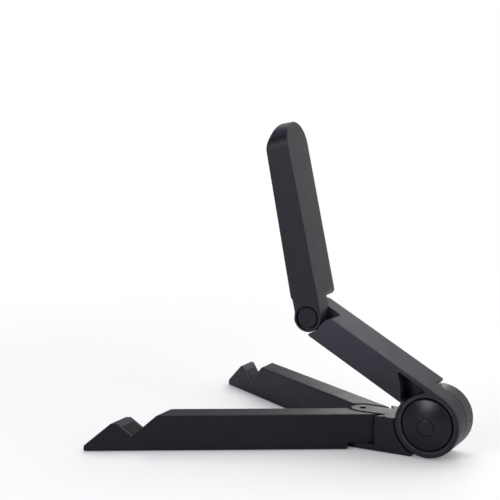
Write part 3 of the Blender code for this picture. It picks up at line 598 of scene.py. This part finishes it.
def base_block():
    """The ear on the left, the body behind the legs, and the clevis that holds them."""
    top_angle = 180 - math.degrees(math.asin((BLOCK_TOP - HUB_Z) / HUB_RADIUS))
    lip_reach = PIVOT_Y - LIP_RADIUS - SLACK
    ear_over = arc((0, HUB_Z), HUB_RADIUS, 90, top_angle, FINE)
    body = [(lip_reach, BLOCK_TOP), (lip_reach, SOLE), (BLOCK_HEEL_Y, SOLE)]
    heel_angle = 180 + math.degrees(math.acos(-BLOCK_HEEL_Y / HUB_RADIUS))
    ear_under = arc((0, HUB_Z), HUB_RADIUS, heel_angle, 450, FINE)[:-1]
    block = prism("base_block", ear_over + body + ear_under, -HALF_WIDTH - SLACK, HALF_WIDTH + SLACK, "X")

    corner = math.degrees(math.acos(HALF_WIDTH / LIP_RADIUS))
    lip_end = arc((0, PIVOT_Y), LIP_RADIUS, -corner, corner - 180, MEDIUM)
    back = HUB_RADIUS + SLACK
    plan = [(HALF_WIDTH, back)] + lip_end + [(-HALF_WIDTH, back)]
    trim_to(block, prism("block_plan", plan, -SLACK, 2 * HUB_Z + SLACK, "Z"))
    round_edges(block, BLOCK_EDGE, angle=60)

    ear_face = HUB_SEAM_X - SEAM / 2
    right = HALF_WIDTH + SLACK
    axis = (0, 0, HUB_Z)
    cut(block, cylinder("ring_hollow", RING_CLEARANCE, ear_face, right, "X", axis, sides=FINE))

    pivot = (0, PIVOT_Y, 0)
    cut(block, cylinder("mouth", MOUTH_RADIUS, LIP_TOP, TONGUE_BOTTOM, "Z", pivot, sides=FINE))
    root = math.degrees(math.acos(TONGUE_RADIUS / MOUTH_RADIUS))
    tongue_end = arc((0, PIVOT_Y), TONGUE_RADIUS, 0, -180, MEDIUM)
    mouth_round = arc((0, PIVOT_Y), MOUTH_RADIUS, 180 - root, 360 + root, FINE)
    over_legs = prism("mouth_top", tongue_end + mouth_round, TONGUE_BOTTOM - GAP, LEG_TOP + SLACK, "Z")
    cut(block, over_legs)

    screw_bore = cylinder("leg_screw_bore", LEG_SCREW_RADIUS + GAP, -SLACK, LEG_TOP, "Z", pivot)
    screw_seat = cylinder("leg_screw_seat", LEG_HEAD_RADIUS + GAP, -SLACK, LEG_HEAD_TOP + GAP, "Z", pivot)
    cut(block, screw_bore, screw_seat)
    cut(block, prism("block_foot_seat", block_foot_outline(GAP), -SLACK, FOOT_HEIGHT + GAP, "Z"))

    hub = [
        (HUB_SHANK_RADIUS + GAP, SLACK, HUB_NUT_SEAT),
        (HUB_NUT_RADIUS + 2 * GAP, HUB_NUT_SEAT, LEFT_RECESS_FLOOR),
        (CAP_RECESS_RADIUS, LEFT_RECESS_FLOOR, -HALF_WIDTH - SLACK),
    ]
    bore = stepped_bore("ear_bore", hub, "X", sides=FINE)
    bore.location = axis
    cut(block, bore)

    # Two small marks of the mould: one on the ear's back, one in the top's edge beside the tongue.
    mark_low = (-6.4 * MM, HUB_RADIUS - 0.6 * MM, HUB_Z - 0.5 * MM)
    cut(block, box("ear_mark", mark_low, (-5.7 * MM, HUB_RADIUS + SLACK, HUB_Z + 1.1 * MM)))
    nick_low = (HALF_WIDTH - 1.6 * MM, -21.6 * MM, BLOCK_TOP - 1.0 * MM)
    cut(block, box("top_nick", nick_low, (right, -20.9 * MM, BLOCK_TOP + SLACK)))
    return make_part(block)


def block_foot_outline(margin):
    half = BLOCK_FOOT_RADIUS + margin
    front, back = BLOCK_FOOT_ENDS
    return stadium(-half, half, front - margin, back + margin)


# --- Legs -------------------------------------------------------------------------------------


def leg_side_outline():
    """Side view in YZ of both legs, spread: a flat bar with a square notch and a hook at its tip."""
    slant_top = (NOTCH_Y + LEG_TOP - NOTCH_Z, LEG_TOP)
    hook_back = (NOTCH_Y - LIP_Z + NOTCH_Z, LIP_Z)
    hook_front = (hook_back[0] - HOOK_TOP, LIP_Z)
    nose = (TIP_Y, NOSE_Z)
    rear = PIVOT_Y + LEG_REAR_RADIUS + SLACK
    bar = [(rear, SOLE), (rear, LEG_TOP), slant_top, (NOTCH_Y, NOTCH_Z)]
    return bar + [hook_back, hook_front, nose, (TIP_Y, SOLE)]


def notch_lining(margin, outer):
    """The notch pad's outline in YZ, its outer face this far out of the notch's faces."""
    corner = math.sqrt(2)
    slant = PAD_ON_SLANT / corner + margin
    hook = PAD_ON_HOOK / corner + margin
    top = NOTCH_Z + outer * corner
    bottom = NOTCH_Z + (PAD_PROUD - PAD_THICKNESS - margin) * corner
    upper = [(NOTCH_Y + slant, top + slant), (NOTCH_Y, top), (NOTCH_Y - hook, top + hook)]
    lower = [(NOTCH_Y - hook, bottom + hook), (NOTCH_Y, bottom), (NOTCH_Y + slant, bottom + slant)]
    return upper + lower


def leg(name, side, joint, ear):
    """One leg, side +1 for the right one. Its ear is the layer of height that turns on the screw."""
    corner = math.degrees(math.acos(LEG_OUTER / LEG_REAR_RADIUS))
    inner = math.degrees(math.acos(LEG_INNER / LEG_REAR_RADIUS))
    rear = arc((0, 0), LEG_REAR_RADIUS, corner, inner, MEDIUM)
    plan = mirrored([(LEG_INNER, LEG_REACH), (LEG_OUTER, LEG_REACH)] + rear, side)
    made = prism(name, plan, SOLE - SLACK, LEG_TOP + SLACK, "Z", joint)
    trim_to(made, prism(name + "_side_view", leg_side_outline(), -PAST_STAND, PAST_STAND, "X"))
    round_edges(made, EDGE)

    # Behind the screw each leg keeps to its own side of the middle, which is also the spread's stop.
    other_low, other_high = sorted((-side * PAST_STAND, side * GAP / 2))
    cut(made, box(name + "_middle", (other_low, PIVOT_Y - SLACK, -SLACK), (other_high, 0, HUB_Z * 2)))
    low, high = ear
    overlap = SLACK / 2
    rounds = {"along": "Z", "parent": joint, "sides": MEDIUM}
    join(made, cylinder(name + "_ear", LEG_EAR_RADIUS, low - overlap, high + overlap, **rounds))
    below = cylinder(name + "_below", EAR_POCKET_RADIUS, -SLACK, low, **rounds)
    above = cylinder(name + "_above", EAR_POCKET_RADIUS, high, TONGUE_BOTTOM - GAP / 2, **rounds)
    rounds["sides"] = FINE
    lip = cylinder(name + "_lip", LEG_REAR_RADIUS + GAP, -SLACK, LIP_TOP + GAP, **rounds)
    screw = cylinder(name + "_screw", LEG_SCREW_RADIUS + GAP, 0, LEG_TOP, "Z", parent=joint)
    cut(made, below, above, lip, screw)
    slot = TONGUE_RADIUS + TONGUE_SLOT
    tongue = stadium(-slot, slot, PIVOT_Y - slot, 0)
    cut(made, prism(name + "_tongue", tongue, LEFT_EAR[1] + GAP, LEG_TOP + SLACK, "Z"))

    cut(made, prism(name + "_foot_seat", foot_outline(side, GAP), -SLACK, FOOT_HEIGHT + GAP, "Z", joint))
    cut(made, notch_pad_solid(name + "_pad_seat", side, joint, GAP, 3 * MM))
    return make_part(made)


def foot_outline(side, margin):
    middle = (LEG_INNER + LEG_OUTER) / 2
    half = FOOT_RADIUS + margin
    front, back = LEG_FOOT_ENDS
    return mirrored(stadium(middle - half, middle + half, front - margin, back + margin), side)


def notch_pad_solid(name, side, joint, margin, outer):
    """The lining across the leg, kept inside two walls that run along it."""
    inner = LEG_INNER + PAD_WALL - margin
    outside = LEG_OUTER - PAD_WALL + margin
    across = [(inner, LEG_REACH), (outside, LEG_REACH), (outside, BEHIND_NOTCH), (inner, BEHIND_NOTCH)]
    strip = prism(name, mirrored(across, side), 0, LEG_TOP + 5 * MM, "Z", joint)
    trim_to(strip, prism(name + "_lining", notch_lining(margin, outer), -PAST_STAND, PAST_STAND, "X"))
    return strip


# --- Arm --------------------------------------------------------------------------------------


def lower_arm(joint):
    """Ring on the right at the hub, ear on the left at the elbow, one bar between them."""
    floor = ELBOW_LIFT - LOWER_EAR_RADIUS
    meet = 180 - math.degrees(math.asin(floor / HUB_RADIUS))
    elbow = (-ARM_LENGTH, ELBOW_LIFT)
    outline = arc(elbow, LOWER_EAR_RADIUS, 90, 270, MEDIUM) + arc((0, 0), HUB_RADIUS, meet, 450, FINE)
    arm = prism("lower_arm", outline, -HALF_WIDTH, HALF_WIDTH, "X", joint)
    round_edges(arm, EDGE)

    ring_face = HUB_SEAM_X + SEAM / 2
    left = -HALF_WIDTH - SLACK
    right = HALF_WIDTH + SLACK
    cut(arm, cylinder("ear_hollow", EAR_CLEARANCE, left, ring_face, "X", parent=joint, sides=FINE))
    cut(arm, prism("arm_end", arm_end_outline(), left, ring_face, "X", joint))
    # A nick in the square end's upper corner.
    nick_low = (-4.0 * MM, ARM_END_Y - 2.4 * MM, HUB_RADIUS - 3 * MM)
    cut(arm, box("end_nick", nick_low, (ring_face, ARM_END_Y + SLACK, HUB_RADIUS - 0.8 * MM), joint))
    cut(arm, prism("elbow_hollow", elbow_hollow(), -GAP / 2, right, "X", joint))
    pocket = prism("pocket", pocket_outline(), POCKET_FLOOR, right, "X", joint)
    round_edges(pocket, 0.7 * MM, segments=2, angle=50)
    cut(arm, pocket)

    hub = [
        (CAP_RECESS_RADIUS, right, RIGHT_RECESS_FLOOR),
        (HUB_HEAD_RADIUS + 2 * GAP, RIGHT_RECESS_FLOOR, HUB_HEAD_SEAT),
        (HUB_SHANK_RADIUS + GAP, HUB_HEAD_SEAT, HUB_DISC_SEAT),
        (HUB_DISC_RADIUS + GAP, HUB_DISC_SEAT, -SLACK),
    ]
    cut(arm, stepped_bore("ring_bore", hub, "X", joint, FINE))
    flare = CAP_RECESS_MOUTH - CAP_RECESS_RADIUS
    narrow = HALF_WIDTH - flare
    funnel = [(0, right), (CAP_RECESS_MOUTH + SLACK, right), (CAP_RECESS_RADIUS, narrow), (0, narrow)]
    cut(arm, turned("recess_flare", funnel, "X", joint, sides=FINE))
    ear = [
        (ELBOW_SHANK_RADIUS + GAP, SLACK, ELBOW_NUT_SEAT),
        (ELBOW_NUT_RADIUS + GAP, ELBOW_NUT_SEAT, -ELBOW_RECESS_FLOOR),
        (ELBOW_RECESS_RADIUS, -ELBOW_RECESS_FLOOR, left),
    ]
    bore = stepped_bore("lower_ear_bore", ear, "X", joint, MEDIUM)
    bore.location = (0, *elbow)
    cut(arm, bore)
    return make_part(arm)


def arm_end_outline():
    """What the lower arm's left half leaves free over the ear, in YZ: a square, rounded end."""
    radius = 1.3 * MM
    corner = arc((ARM_END_Y - radius, HUB_RADIUS - radius), radius, 90, 0, COARSE)
    over = HUB_RADIUS + SLACK
    return [(ARM_END_Y - radius, over)] + corner + [(ARM_END_Y, 0), (0, 0), (0, over)]


def elbow_hollow():
    """What the lower arm's right half leaves free for the upper arm's ear and back, in YZ."""
    centre = (-ARM_LENGTH, ELBOW_LIFT)
    far = -ARM_LENGTH - 2 * LOWER_EAR_RADIUS
    under = arc(centre, UPPER_EAR_RADIUS + ELBOW_SEAM, -52, 0, MEDIUM)
    radius = 1 * MM  # of the rounded toe below
    toe_at = (under[0][0] + radius, ELBOW_LIFT - LOWER_EAR_RADIUS + radius)
    toe = arc(toe_at, radius, -90, -180, COARSE)
    behind = [(8.0 * MM, 3.2 * MM), (8.8 * MM, 5.0 * MM), (11.2 * MM, 7.4 * MM), (13.0 * MM, 9.0 * MM)]
    slope = [(centre[0] + across, centre[1] + up) for across, up in behind]
    return [(far, -SLACK), (toe_at[0], -SLACK)] + toe + under + slope + [(far, slope[-1][1])]


def pocket_outline():
    """Curved triangle beside the ring: a wall under the arm's back, an arc round the ring, a bowed end."""
    roof = HUB_RADIUS - 2.1 * MM
    ring = arc((0, 0), 14.6 * MM, 169, 126, FINE)
    end = bowed((-24.4 * MM, 12.7 * MM), (-17.0 * MM, 3.0 * MM), 0.8 * MM, 6)
    return ring + [(-9.4 * MM, roof), (-23.6 * MM, roof)] + end


def upper_arm(joint):
    """Ear on the right at the elbow, a shoulder on the left, and a half-round tip.

    Close to the elbow the front steps in to a neck.
    """
    neck = UPPER_FRONT - 1.0 * MM
    step = UPPER_FRONT - 10.5 * MM * UPPER_TAPER
    ear = arc((0, 0), UPPER_EAR_RADIUS, -95, 78, MEDIUM)
    back = [(-4.0 * MM, UPPER_BACK), (-UPPER_LENGTH, TIP_BACK), (-UPPER_LENGTH - SLACK, TIP_BACK)]
    front = [facet_point(UPPER_LENGTH + SLACK)] + facet_bend()
    front += [(-10.8 * MM, -step), (-9.6 * MM, -neck), (-3.6 * MM, -neck)]
    wide = TIP_HALF_WIDTH + SLACK
    arm = prism("upper_arm", ear + back + front, -wide, wide, "X", joint)
    tip = arc((0, -UPPER_LENGTH + TIP_HALF_WIDTH), TIP_HALF_WIDTH, 180, 360, MEDIUM)
    rear = 2 * UPPER_EAR_RADIUS
    elbow_side = [(HALF_WIDTH, -UPPER_EAR_RADIUS), (HALF_WIDTH, rear)]
    plan = tip + elbow_side + mirrored(elbow_side, -1)[::-1]
    trim_to(arm, prism("upper_plan", plan, -20 * MM, 20 * MM, "Z", joint))
    round_edges(arm, EDGE, angle=50)

    left = -HALF_WIDTH - SLACK
    right = HALF_WIDTH + SLACK
    cut(arm, prism("shoulder", shoulder_outline(), left, GAP / 2, "X", joint))
    ear = [
        (ELBOW_RECESS_RADIUS, right, ELBOW_RECESS_FLOOR),
        (ELBOW_HEAD_RADIUS + GAP, ELBOW_RECESS_FLOOR, ELBOW_HEAD_SEAT),
        (ELBOW_SHANK_RADIUS + GAP, ELBOW_HEAD_SEAT, ELBOW_DISC_SEAT),
        (ELBOW_DISC_RADIUS + GAP, ELBOW_DISC_SEAT, -SLACK),
    ]
    cut(arm, stepped_bore("upper_ear_bore", ear, "X", joint, MEDIUM))
    cut(arm, tip_pad_solid("tip_pad_seat", joint, GAP, 2 * MM))
    return make_part(arm)


def facet_point(reach):
    """The point of the tip's cut-back front, in YZ, at this distance from the elbow's axis."""
    front = -UPPER_FRONT + TIP_FACET_START * UPPER_TAPER
    share = (reach - TIP_FACET_START) / (UPPER_LENGTH - TIP_FACET_START)
    return (-reach, front + TIP_FACET_LIFT * share)


def facet_bend():
    """The rounded bend from the tip's cut-back front into the arm's front, in YZ."""
    reach = 2.5 * MM
    after = Vector(facet_point(TIP_FACET_START + reach))
    bend = Vector(facet_point(TIP_FACET_START))
    before = Vector((-TIP_FACET_START + reach, bend.y - reach * UPPER_TAPER))
    shares = [step / 5 for step in range(6)]
    return [tuple(after.lerp(bend, t).lerp(bend.lerp(before, t), t)) for t in shares]


def shoulder_outline():
    """What the upper arm's left half leaves free round the lower arm's ear, its back corner rounded."""
    radius = 3.0 * MM
    centre = (-UPPER_SHOULDER - radius, UPPER_BACK - radius)
    corner = arc(centre, radius, 0, 90, COARSE)
    low = -UPPER_FRONT - 2 * SLACK
    high = UPPER_BACK + 2 * SLACK
    rear = 2 * UPPER_EAR_RADIUS
    return [(-UPPER_SHOULDER, low)] + corner + [(centre[0], high), (rear, high), (rear, low)]


def tip_pad_solid(name, joint, margin, proud):
    """The rubber pad's slab on the tip's cut-back front."""
    wide = TIP_PAD_HALF_WIDTH + margin
    tall = TIP_PAD_HALF_HEIGHT + margin
    outline = arc((-wide + tall, 0), tall, 90, 270, COARSE) + arc((wide - tall, 0), tall, -90, 90, COARSE)
    slab = prism(name, outline, -proud, TIP_PAD_DEPTH + margin, "Z", joint)
    slope = math.atan2(TIP_FACET_LIFT, UPPER_LENGTH - TIP_FACET_START)
    slab.location = (0, *facet_point(TIP_PAD_AT))
    slab.rotation_euler = (-slope, 0, 0)
    return slab


# --- Caps, bolts and washers ------------------------------------------------------------------


def dome(radius, rim, height):
    """Height of the domed cap's face at a radius."""
    return rim + height * (1 - (radius / CAP_RADIUS) ** 2)


def hub_caps(axis):
    rim = HALF_WIDTH - CAP_EDGE
    rings = [(CAP_RADIUS - CAP_EDGE) * step / 7 for step in range(8)]
    face = [(radius, dome(radius, rim, CAP_DOME)) for radius in rings]
    base = RIGHT_RECESS_FLOOR + GAP
    profile = face + [(CAP_RADIUS, rim - CAP_EDGE), (CAP_RADIUS, base), (0, base)]
    right = turned("hub_cap_right", profile, "X", axis, sides=FINE)
    plug = turned("hub_cap_plug", profile, "X", axis, sides=FINE)
    for cap, radius, shape in ((right, PLUG_RADIUS + GAP, cut), (plug, PLUG_RADIUS, trim_to)):
        middle = (0, 0, -PLUG_DROP)
        core = cylinder(cap.name + "_core", radius, 0, 2 * HALF_WIDTH, "X", middle, axis, MEDIUM)
        shape(cap, core)

    flatter = [(radius, -dome(radius, rim, LEFT_CAP_DOME)) for radius in rings]
    inside = LEFT_RECESS_FLOOR - GAP
    back = [(0, inside), (CAP_RADIUS, inside), (CAP_RADIUS, -rim + CAP_EDGE)]
    left = turned("hub_cap_left", back + flatter[::-1], "X", axis, sides=FINE)
    for cap in (right, plug, left):
        make_part(cap)


def elbow_caps(axis):
    face = HALF_WIDTH - 0.1 * MM
    base = ELBOW_RECESS_FLOOR + GAP
    front = [(0, HALF_WIDTH), (ELBOW_CAP_RADIUS - CAP_EDGE, face), (ELBOW_CAP_RADIUS, face - CAP_EDGE)]
    profile = front + [(ELBOW_CAP_RADIUS, base), (0, base)]
    right = turned("elbow_cap_right", profile, "X", axis, sides=MEDIUM)
    flipped = [(radius, -height) for radius, height in reversed(profile)]
    left = turned("elbow_cap_left", flipped, "X", axis, sides=MEDIUM)
    for cap in (right, left):
        make_part(cap)


def bolt(name, head_radius, shank_radius, head, end, axis):
    """A cap screw along X with a hexagon socket: head is (top, bottom), and the shank runs to end."""
    chamfer = 0.3 * MM
    top, bottom = head
    profile = [
        (0, top), (head_radius - chamfer, top), (head_radius, top - chamfer), (head_radius, bottom),
        (shank_radius, bottom), (shank_radius, end + chamfer), (shank_radius - chamfer, end), (0, end),
    ]
    made = turned(name, profile, "X", axis)
    floor = top - (top - bottom) * 0.6
    reach = top + SLACK
    cut(made, cylinder(name + "_socket", head_radius / 2, floor, reach, "X", parent=axis, sides=6))
    return make_part(made)


def nut(name, across, bore, low, high, axis):
    made = cylinder(name, across, low, high, "X", parent=axis, sides=6)
    cut(made, cylinder(name + "_thread", bore, low - SLACK, high + SLACK, "X", parent=axis))
    return make_part(made)


def hub_hardware(axis):
    end = -8.3 * MM
    bolt("hub_bolt", HUB_HEAD_RADIUS, HUB_SHANK_RADIUS, (6.8 * MM, 3.8 * MM), end, axis)
    bore = HUB_SHANK_RADIUS + GAP
    nut("hub_nut", HUB_NUT_RADIUS, bore, end, -6.0 * MM, axis)
    spring = washer("hub_spring_washer", bore, HUB_NUT_RADIUS, -5.75 * MM, -4.75 * MM, "X", axis, 0.4 * MM)
    make_part(spring)
    half = 0.45 * MM
    disc = washer("hub_friction_disc", bore, HUB_DISC_RADIUS, -half, half, "X", axis, sides=MEDIUM)
    make_part(disc)


def elbow_hardware(axis):
    end = -8.3 * MM
    bolt("elbow_bolt", ELBOW_HEAD_RADIUS, ELBOW_SHANK_RADIUS, (8.7 * MM, 6.5 * MM), end, axis)
    bore = ELBOW_SHANK_RADIUS + GAP
    nut("elbow_nut", ELBOW_NUT_RADIUS, bore, end, -6.3 * MM, axis)
    spring = washer("elbow_spring_washer", bore, 3.9 * MM, -6.0 * MM, -5.25 * MM, "X", axis, 0.3 * MM)
    make_part(spring)
    disc = washer("elbow_friction_disc", bore, ELBOW_DISC_RADIUS, 0.15 * MM, 1.05 * MM, "X", axis)
    make_part(disc)


def leg_hardware(axis):
    """The screw comes up through the lip and both ears, and its end shows in the tongue."""
    chamfer = 0.3 * MM
    head_low = 0.6 * MM
    end = BLOCK_TOP - 1.4 * MM
    profile = [
        (0, end), (LEG_SCREW_RADIUS - chamfer, end), (LEG_SCREW_RADIUS, end - chamfer),
        (LEG_SCREW_RADIUS, LEG_HEAD_TOP), (LEG_HEAD_RADIUS, LEG_HEAD_TOP),
        (LEG_HEAD_RADIUS, head_low + chamfer), (LEG_HEAD_RADIUS - chamfer, head_low), (0, head_low),
    ]
    screw = turned("leg_screw", profile, "Z", axis)
    socket_top = head_low + 0.8 * MM
    cut(screw, cylinder("leg_screw_socket", 1.6 * MM, -SLACK, socket_top, "Z", parent=axis, sides=6))
    make_part(screw)
    bore = LEG_SCREW_RADIUS + GAP
    layer = (RIGHT_EAR[1] + GAP, LEFT_EAR[0] - GAP)
    make_part(washer("leg_friction_washer", bore, 5.8 * MM, *layer, "Z", axis))
    play = 0.25 * MM
    layer = (LEFT_EAR[1] + play, TONGUE_BOTTOM - play)
    make_part(washer("leg_spring_washer", bore, 4.6 * MM, *layer, "Z", axis, dish=play))


# --- Rubber -----------------------------------------------------------------------------------


def foot(name, outline, joint=None):
    pad = prism(name, outline, 0, FOOT_HEIGHT, "Z", joint)
    return make_part(pad)


# --- The stand --------------------------------------------------------------------------------

hub_axis = new_empty("hub_axis", (0, 0, HUB_Z), parent=STAND)
arm_joint = new_empty("arm_joint", (0, 0, 0), (-ARM_RISE, 0, 0), hub_axis)
elbow_axis = new_empty("elbow_axis", (0, -ARM_LENGTH, ELBOW_LIFT), parent=arm_joint)
elbow_joint = new_empty("elbow_joint", (0, 0, 0), (-ELBOW_FOLD, 0, 0), elbow_axis)
leg_axis = new_empty("leg_axis", (0, PIVOT_Y, 0), parent=STAND)
right_leg_joint = new_empty("right_leg_joint", (0, 0, 0), (0, 0, LEG_SPREAD), leg_axis)
left_leg_joint = new_empty("left_leg_joint", (0, 0, 0), (0, 0, -LEG_SPREAD), leg_axis)
bpy.context.view_layer.update()

base_block()
lower_arm(arm_joint)
upper_arm(elbow_joint)
hub_caps(hub_axis)
hub_hardware(hub_axis)
elbow_caps(elbow_axis)
elbow_hardware(elbow_axis)
leg_hardware(leg_axis)
foot("block_foot", block_foot_outline(0))
make_part(tip_pad_solid("arm_tip_pad", elbow_joint, 0, TIP_PAD_PROUD))
for word, sign, joint, layer in (
    ("right", 1, right_leg_joint, RIGHT_EAR),
    ("left", -1, left_leg_joint, LEFT_EAR),
):
    leg(word + "_leg", sign, joint, layer)
    foot(word + "_leg_foot", foot_outline(sign, 0), joint)
    make_part(notch_pad_solid(word + "_notch_pad", sign, joint, 0, PAD_PROUD))

# The pieces are made, so the working solids, the cutters and the empties go.
for helper in list(CUTTERS.objects) + list(PARTS.objects):
    bpy.data.objects.remove(helper)
for kept in (PARTS, CUTTERS):
    bpy.data.collections.remove(kept)

# --- Studio -----------------------------------------------------------------------------------

CAMERA_AT = (572.916 * MM, 257.103 * MM, 185.755 * MM)
CAMERA_YAW = math.radians(-153.0545)
CAMERA_PITCH = math.radians(-8.5526)
CAMERA_ROLL = math.radians(0.8341)
CAMERA_LENS = 94.53  # mm
CAMERA_SENSOR = 36  # mm

FLOOR_HALF = 6.0  # metres, well past what the camera sees
FADE_FROM = 0.13  # the floor turns from real to plain white between these distances from the stand
FADE_TO = 0.42
FADE_LEAST = 0.15  # share of glowing white in the middle, which paints the stand's shadows on the floor lighter

BRIGHT_SIDE = (-0.70, 0.65, 0.30)  # the room is brightest this way
ROOM_DARK = 0.14
ROOM_BRIGHT = 1.1


def aim_camera():
    """A camera standing behind the stand's right side, its yaw measured from +X and its roll clockwise."""
    level = math.cos(CAMERA_PITCH)
    forward = Vector((level * math.cos(CAMERA_YAW), level * math.sin(CAMERA_YAW), math.sin(CAMERA_PITCH)))
    flat_right = Vector((math.sin(CAMERA_YAW), -math.cos(CAMERA_YAW), 0))
    flat_up = flat_right.cross(forward)
    right = math.cos(CAMERA_ROLL) * flat_right + math.sin(CAMERA_ROLL) * flat_up
    up = math.cos(CAMERA_ROLL) * flat_up - math.sin(CAMERA_ROLL) * flat_right
    data = bpy.data.cameras.new("camera")
    data.lens = CAMERA_LENS
    data.sensor_width = CAMERA_SENSOR
    data.clip_start = 0.01
    camera = bpy.data.objects.new("camera", data)
    bpy.context.scene.collection.objects.link(camera)
    place = Matrix((right, up, -forward)).transposed().to_4x4()
    place.translation = CAMERA_AT
    camera.matrix_world = place
    bpy.context.scene.camera = camera


def soft_box(name, place, target, size, power, colour=(1, 1, 1)):
    data = bpy.data.lights.new(name, "AREA")
    data.shape = "RECTANGLE"
    data.size = size[0]
    data.size_y = size[1]
    data.energy = power
    data.color = colour
    lamp = bpy.data.objects.new(name, data)
    bpy.context.scene.collection.objects.link(lamp)
    lamp.location = place
    aim = Vector(target) - Vector(place)
    lamp.rotation_euler = aim.to_track_quat("-Z", "Y").to_euler()
    return lamp


def pale_floor():
    """A matt near-white that fades, for the camera, into a glowing plain white backdrop away from the
    stand; near the stand a little of the glow paints the shadows lighter.
    """
    material = bpy.data.materials.new("pale_floor")
    material.use_nodes = True
    shader = material.node_tree.nodes["Principled BSDF"]
    shader.inputs["Base Color"].default_value = (0.86, 0.86, 0.865, 1)
    shader.inputs["Roughness"].default_value = 0.6
    shader.inputs["Specular IOR Level"].default_value = 0.2
    tree = material.node_tree
    reach = node(tree, "VectorMath", _operation="LENGTH")
    tree.links.new(node(tree, "TexCoord").outputs["Object"], reach.inputs[0])
    fade = node(tree, "MapRange", _interpolation_type="SMOOTHSTEP",
                From_Min=FADE_FROM, From_Max=FADE_TO, To_Min=FADE_LEAST)
    tree.links.new(reach.outputs["Value"], fade.inputs["Value"])
    # The glow, seen only by the camera: painted light that lightens the stand's shadows near it, and the
    # plain backdrop further out.
    white = node(tree, "Emission", Color=(1, 1, 1, 1), Strength=1.0)
    shown = node(tree, "Math", _operation="MULTIPLY")
    tree.links.new(fade.outputs["Result"], shown.inputs[0])
    tree.links.new(node(tree, "LightPath").outputs["Is Camera Ray"], shown.inputs[1])
    mix = node(tree, "MixShader")
    tree.links.new(shown.outputs["Value"], mix.inputs[0])
    tree.links.new(shader.outputs[0], mix.inputs[1])
    tree.links.new(white.outputs[0], mix.inputs[2])
    tree.links.new(mix.outputs[0], tree.nodes["Material Output"].inputs["Surface"])
    return material


def make_floor():
    half = FLOOR_HALF
    corners = [(-half, -half, 0), (half, -half, 0), (half, half, 0), (-half, half, 0)]
    mesh = bpy.data.meshes.new("floor")
    mesh.from_pydata(corners, [], [(0, 1, 2, 3)])
    mesh.materials.append(pale_floor())
    floor = bpy.data.objects.new("floor", mesh)
    bpy.context.scene.collection.objects.link(floor)


def make_world():
    """A pale room, brighter overhead and beyond the stand than on the side it is seen from."""
    world = bpy.data.worlds.new("studio")
    bpy.context.scene.world = world
    world.use_nodes = True
    tree = world.node_tree
    tree.nodes.clear()
    place = node(tree, "TexCoord").outputs["Generated"]
    facing = node(tree, "VectorMath", _operation="DOT_PRODUCT")
    facing.inputs[1].default_value = Vector(BRIGHT_SIDE).normalized()
    tree.links.new(place, facing.inputs[0])
    spread = node(tree, "MapRange", _interpolation_type="SMOOTHSTEP",
                  From_Min=0.2, From_Max=0.9, To_Min=ROOM_DARK, To_Max=ROOM_BRIGHT)
    tree.links.new(facing.outputs["Value"], spread.inputs["Value"])
    room = node(tree, "Background", Color=(1, 1, 1, 1))
    tree.links.new(spread.outputs["Result"], room.inputs["Strength"])
    backdrop = node(tree, "Background", Color=(1, 1, 1, 1), Strength=1.0)
    seen = node(tree, "LightPath").outputs["Is Camera Ray"]
    mix = node(tree, "MixShader")
    tree.links.new(seen, mix.inputs[0])
    tree.links.new(room.outputs[0], mix.inputs[1])
    tree.links.new(backdrop.outputs[0], mix.inputs[2])
    out = node(tree, "OutputWorld")
    tree.links.new(mix.outputs[0], out.inputs["Surface"])


aim_camera()
make_floor()
make_world()
soft_box("overhead", (-0.40, -0.05, 1.0), (0, 0, 0.05), (1.3, 1.3), 9.0)
soft_box("front", (0.90, -0.24, 0.37), (0.01, 0.064, 0.016), (0.30, 0.30), 4.4, (1.0, 0.97, 1.1))
soft_box("behind", (-1.24, -0.31, 0.34), (0, 0, 0.02), (0.36, 0.3), 1.3)
soft_box("edges", (0.35, 0.80, 0.55), (0.01, 0.064, 0.016), (0.35, 0.35), 1.4)
bpy.context.scene.view_settings.view_transform = "Standard"
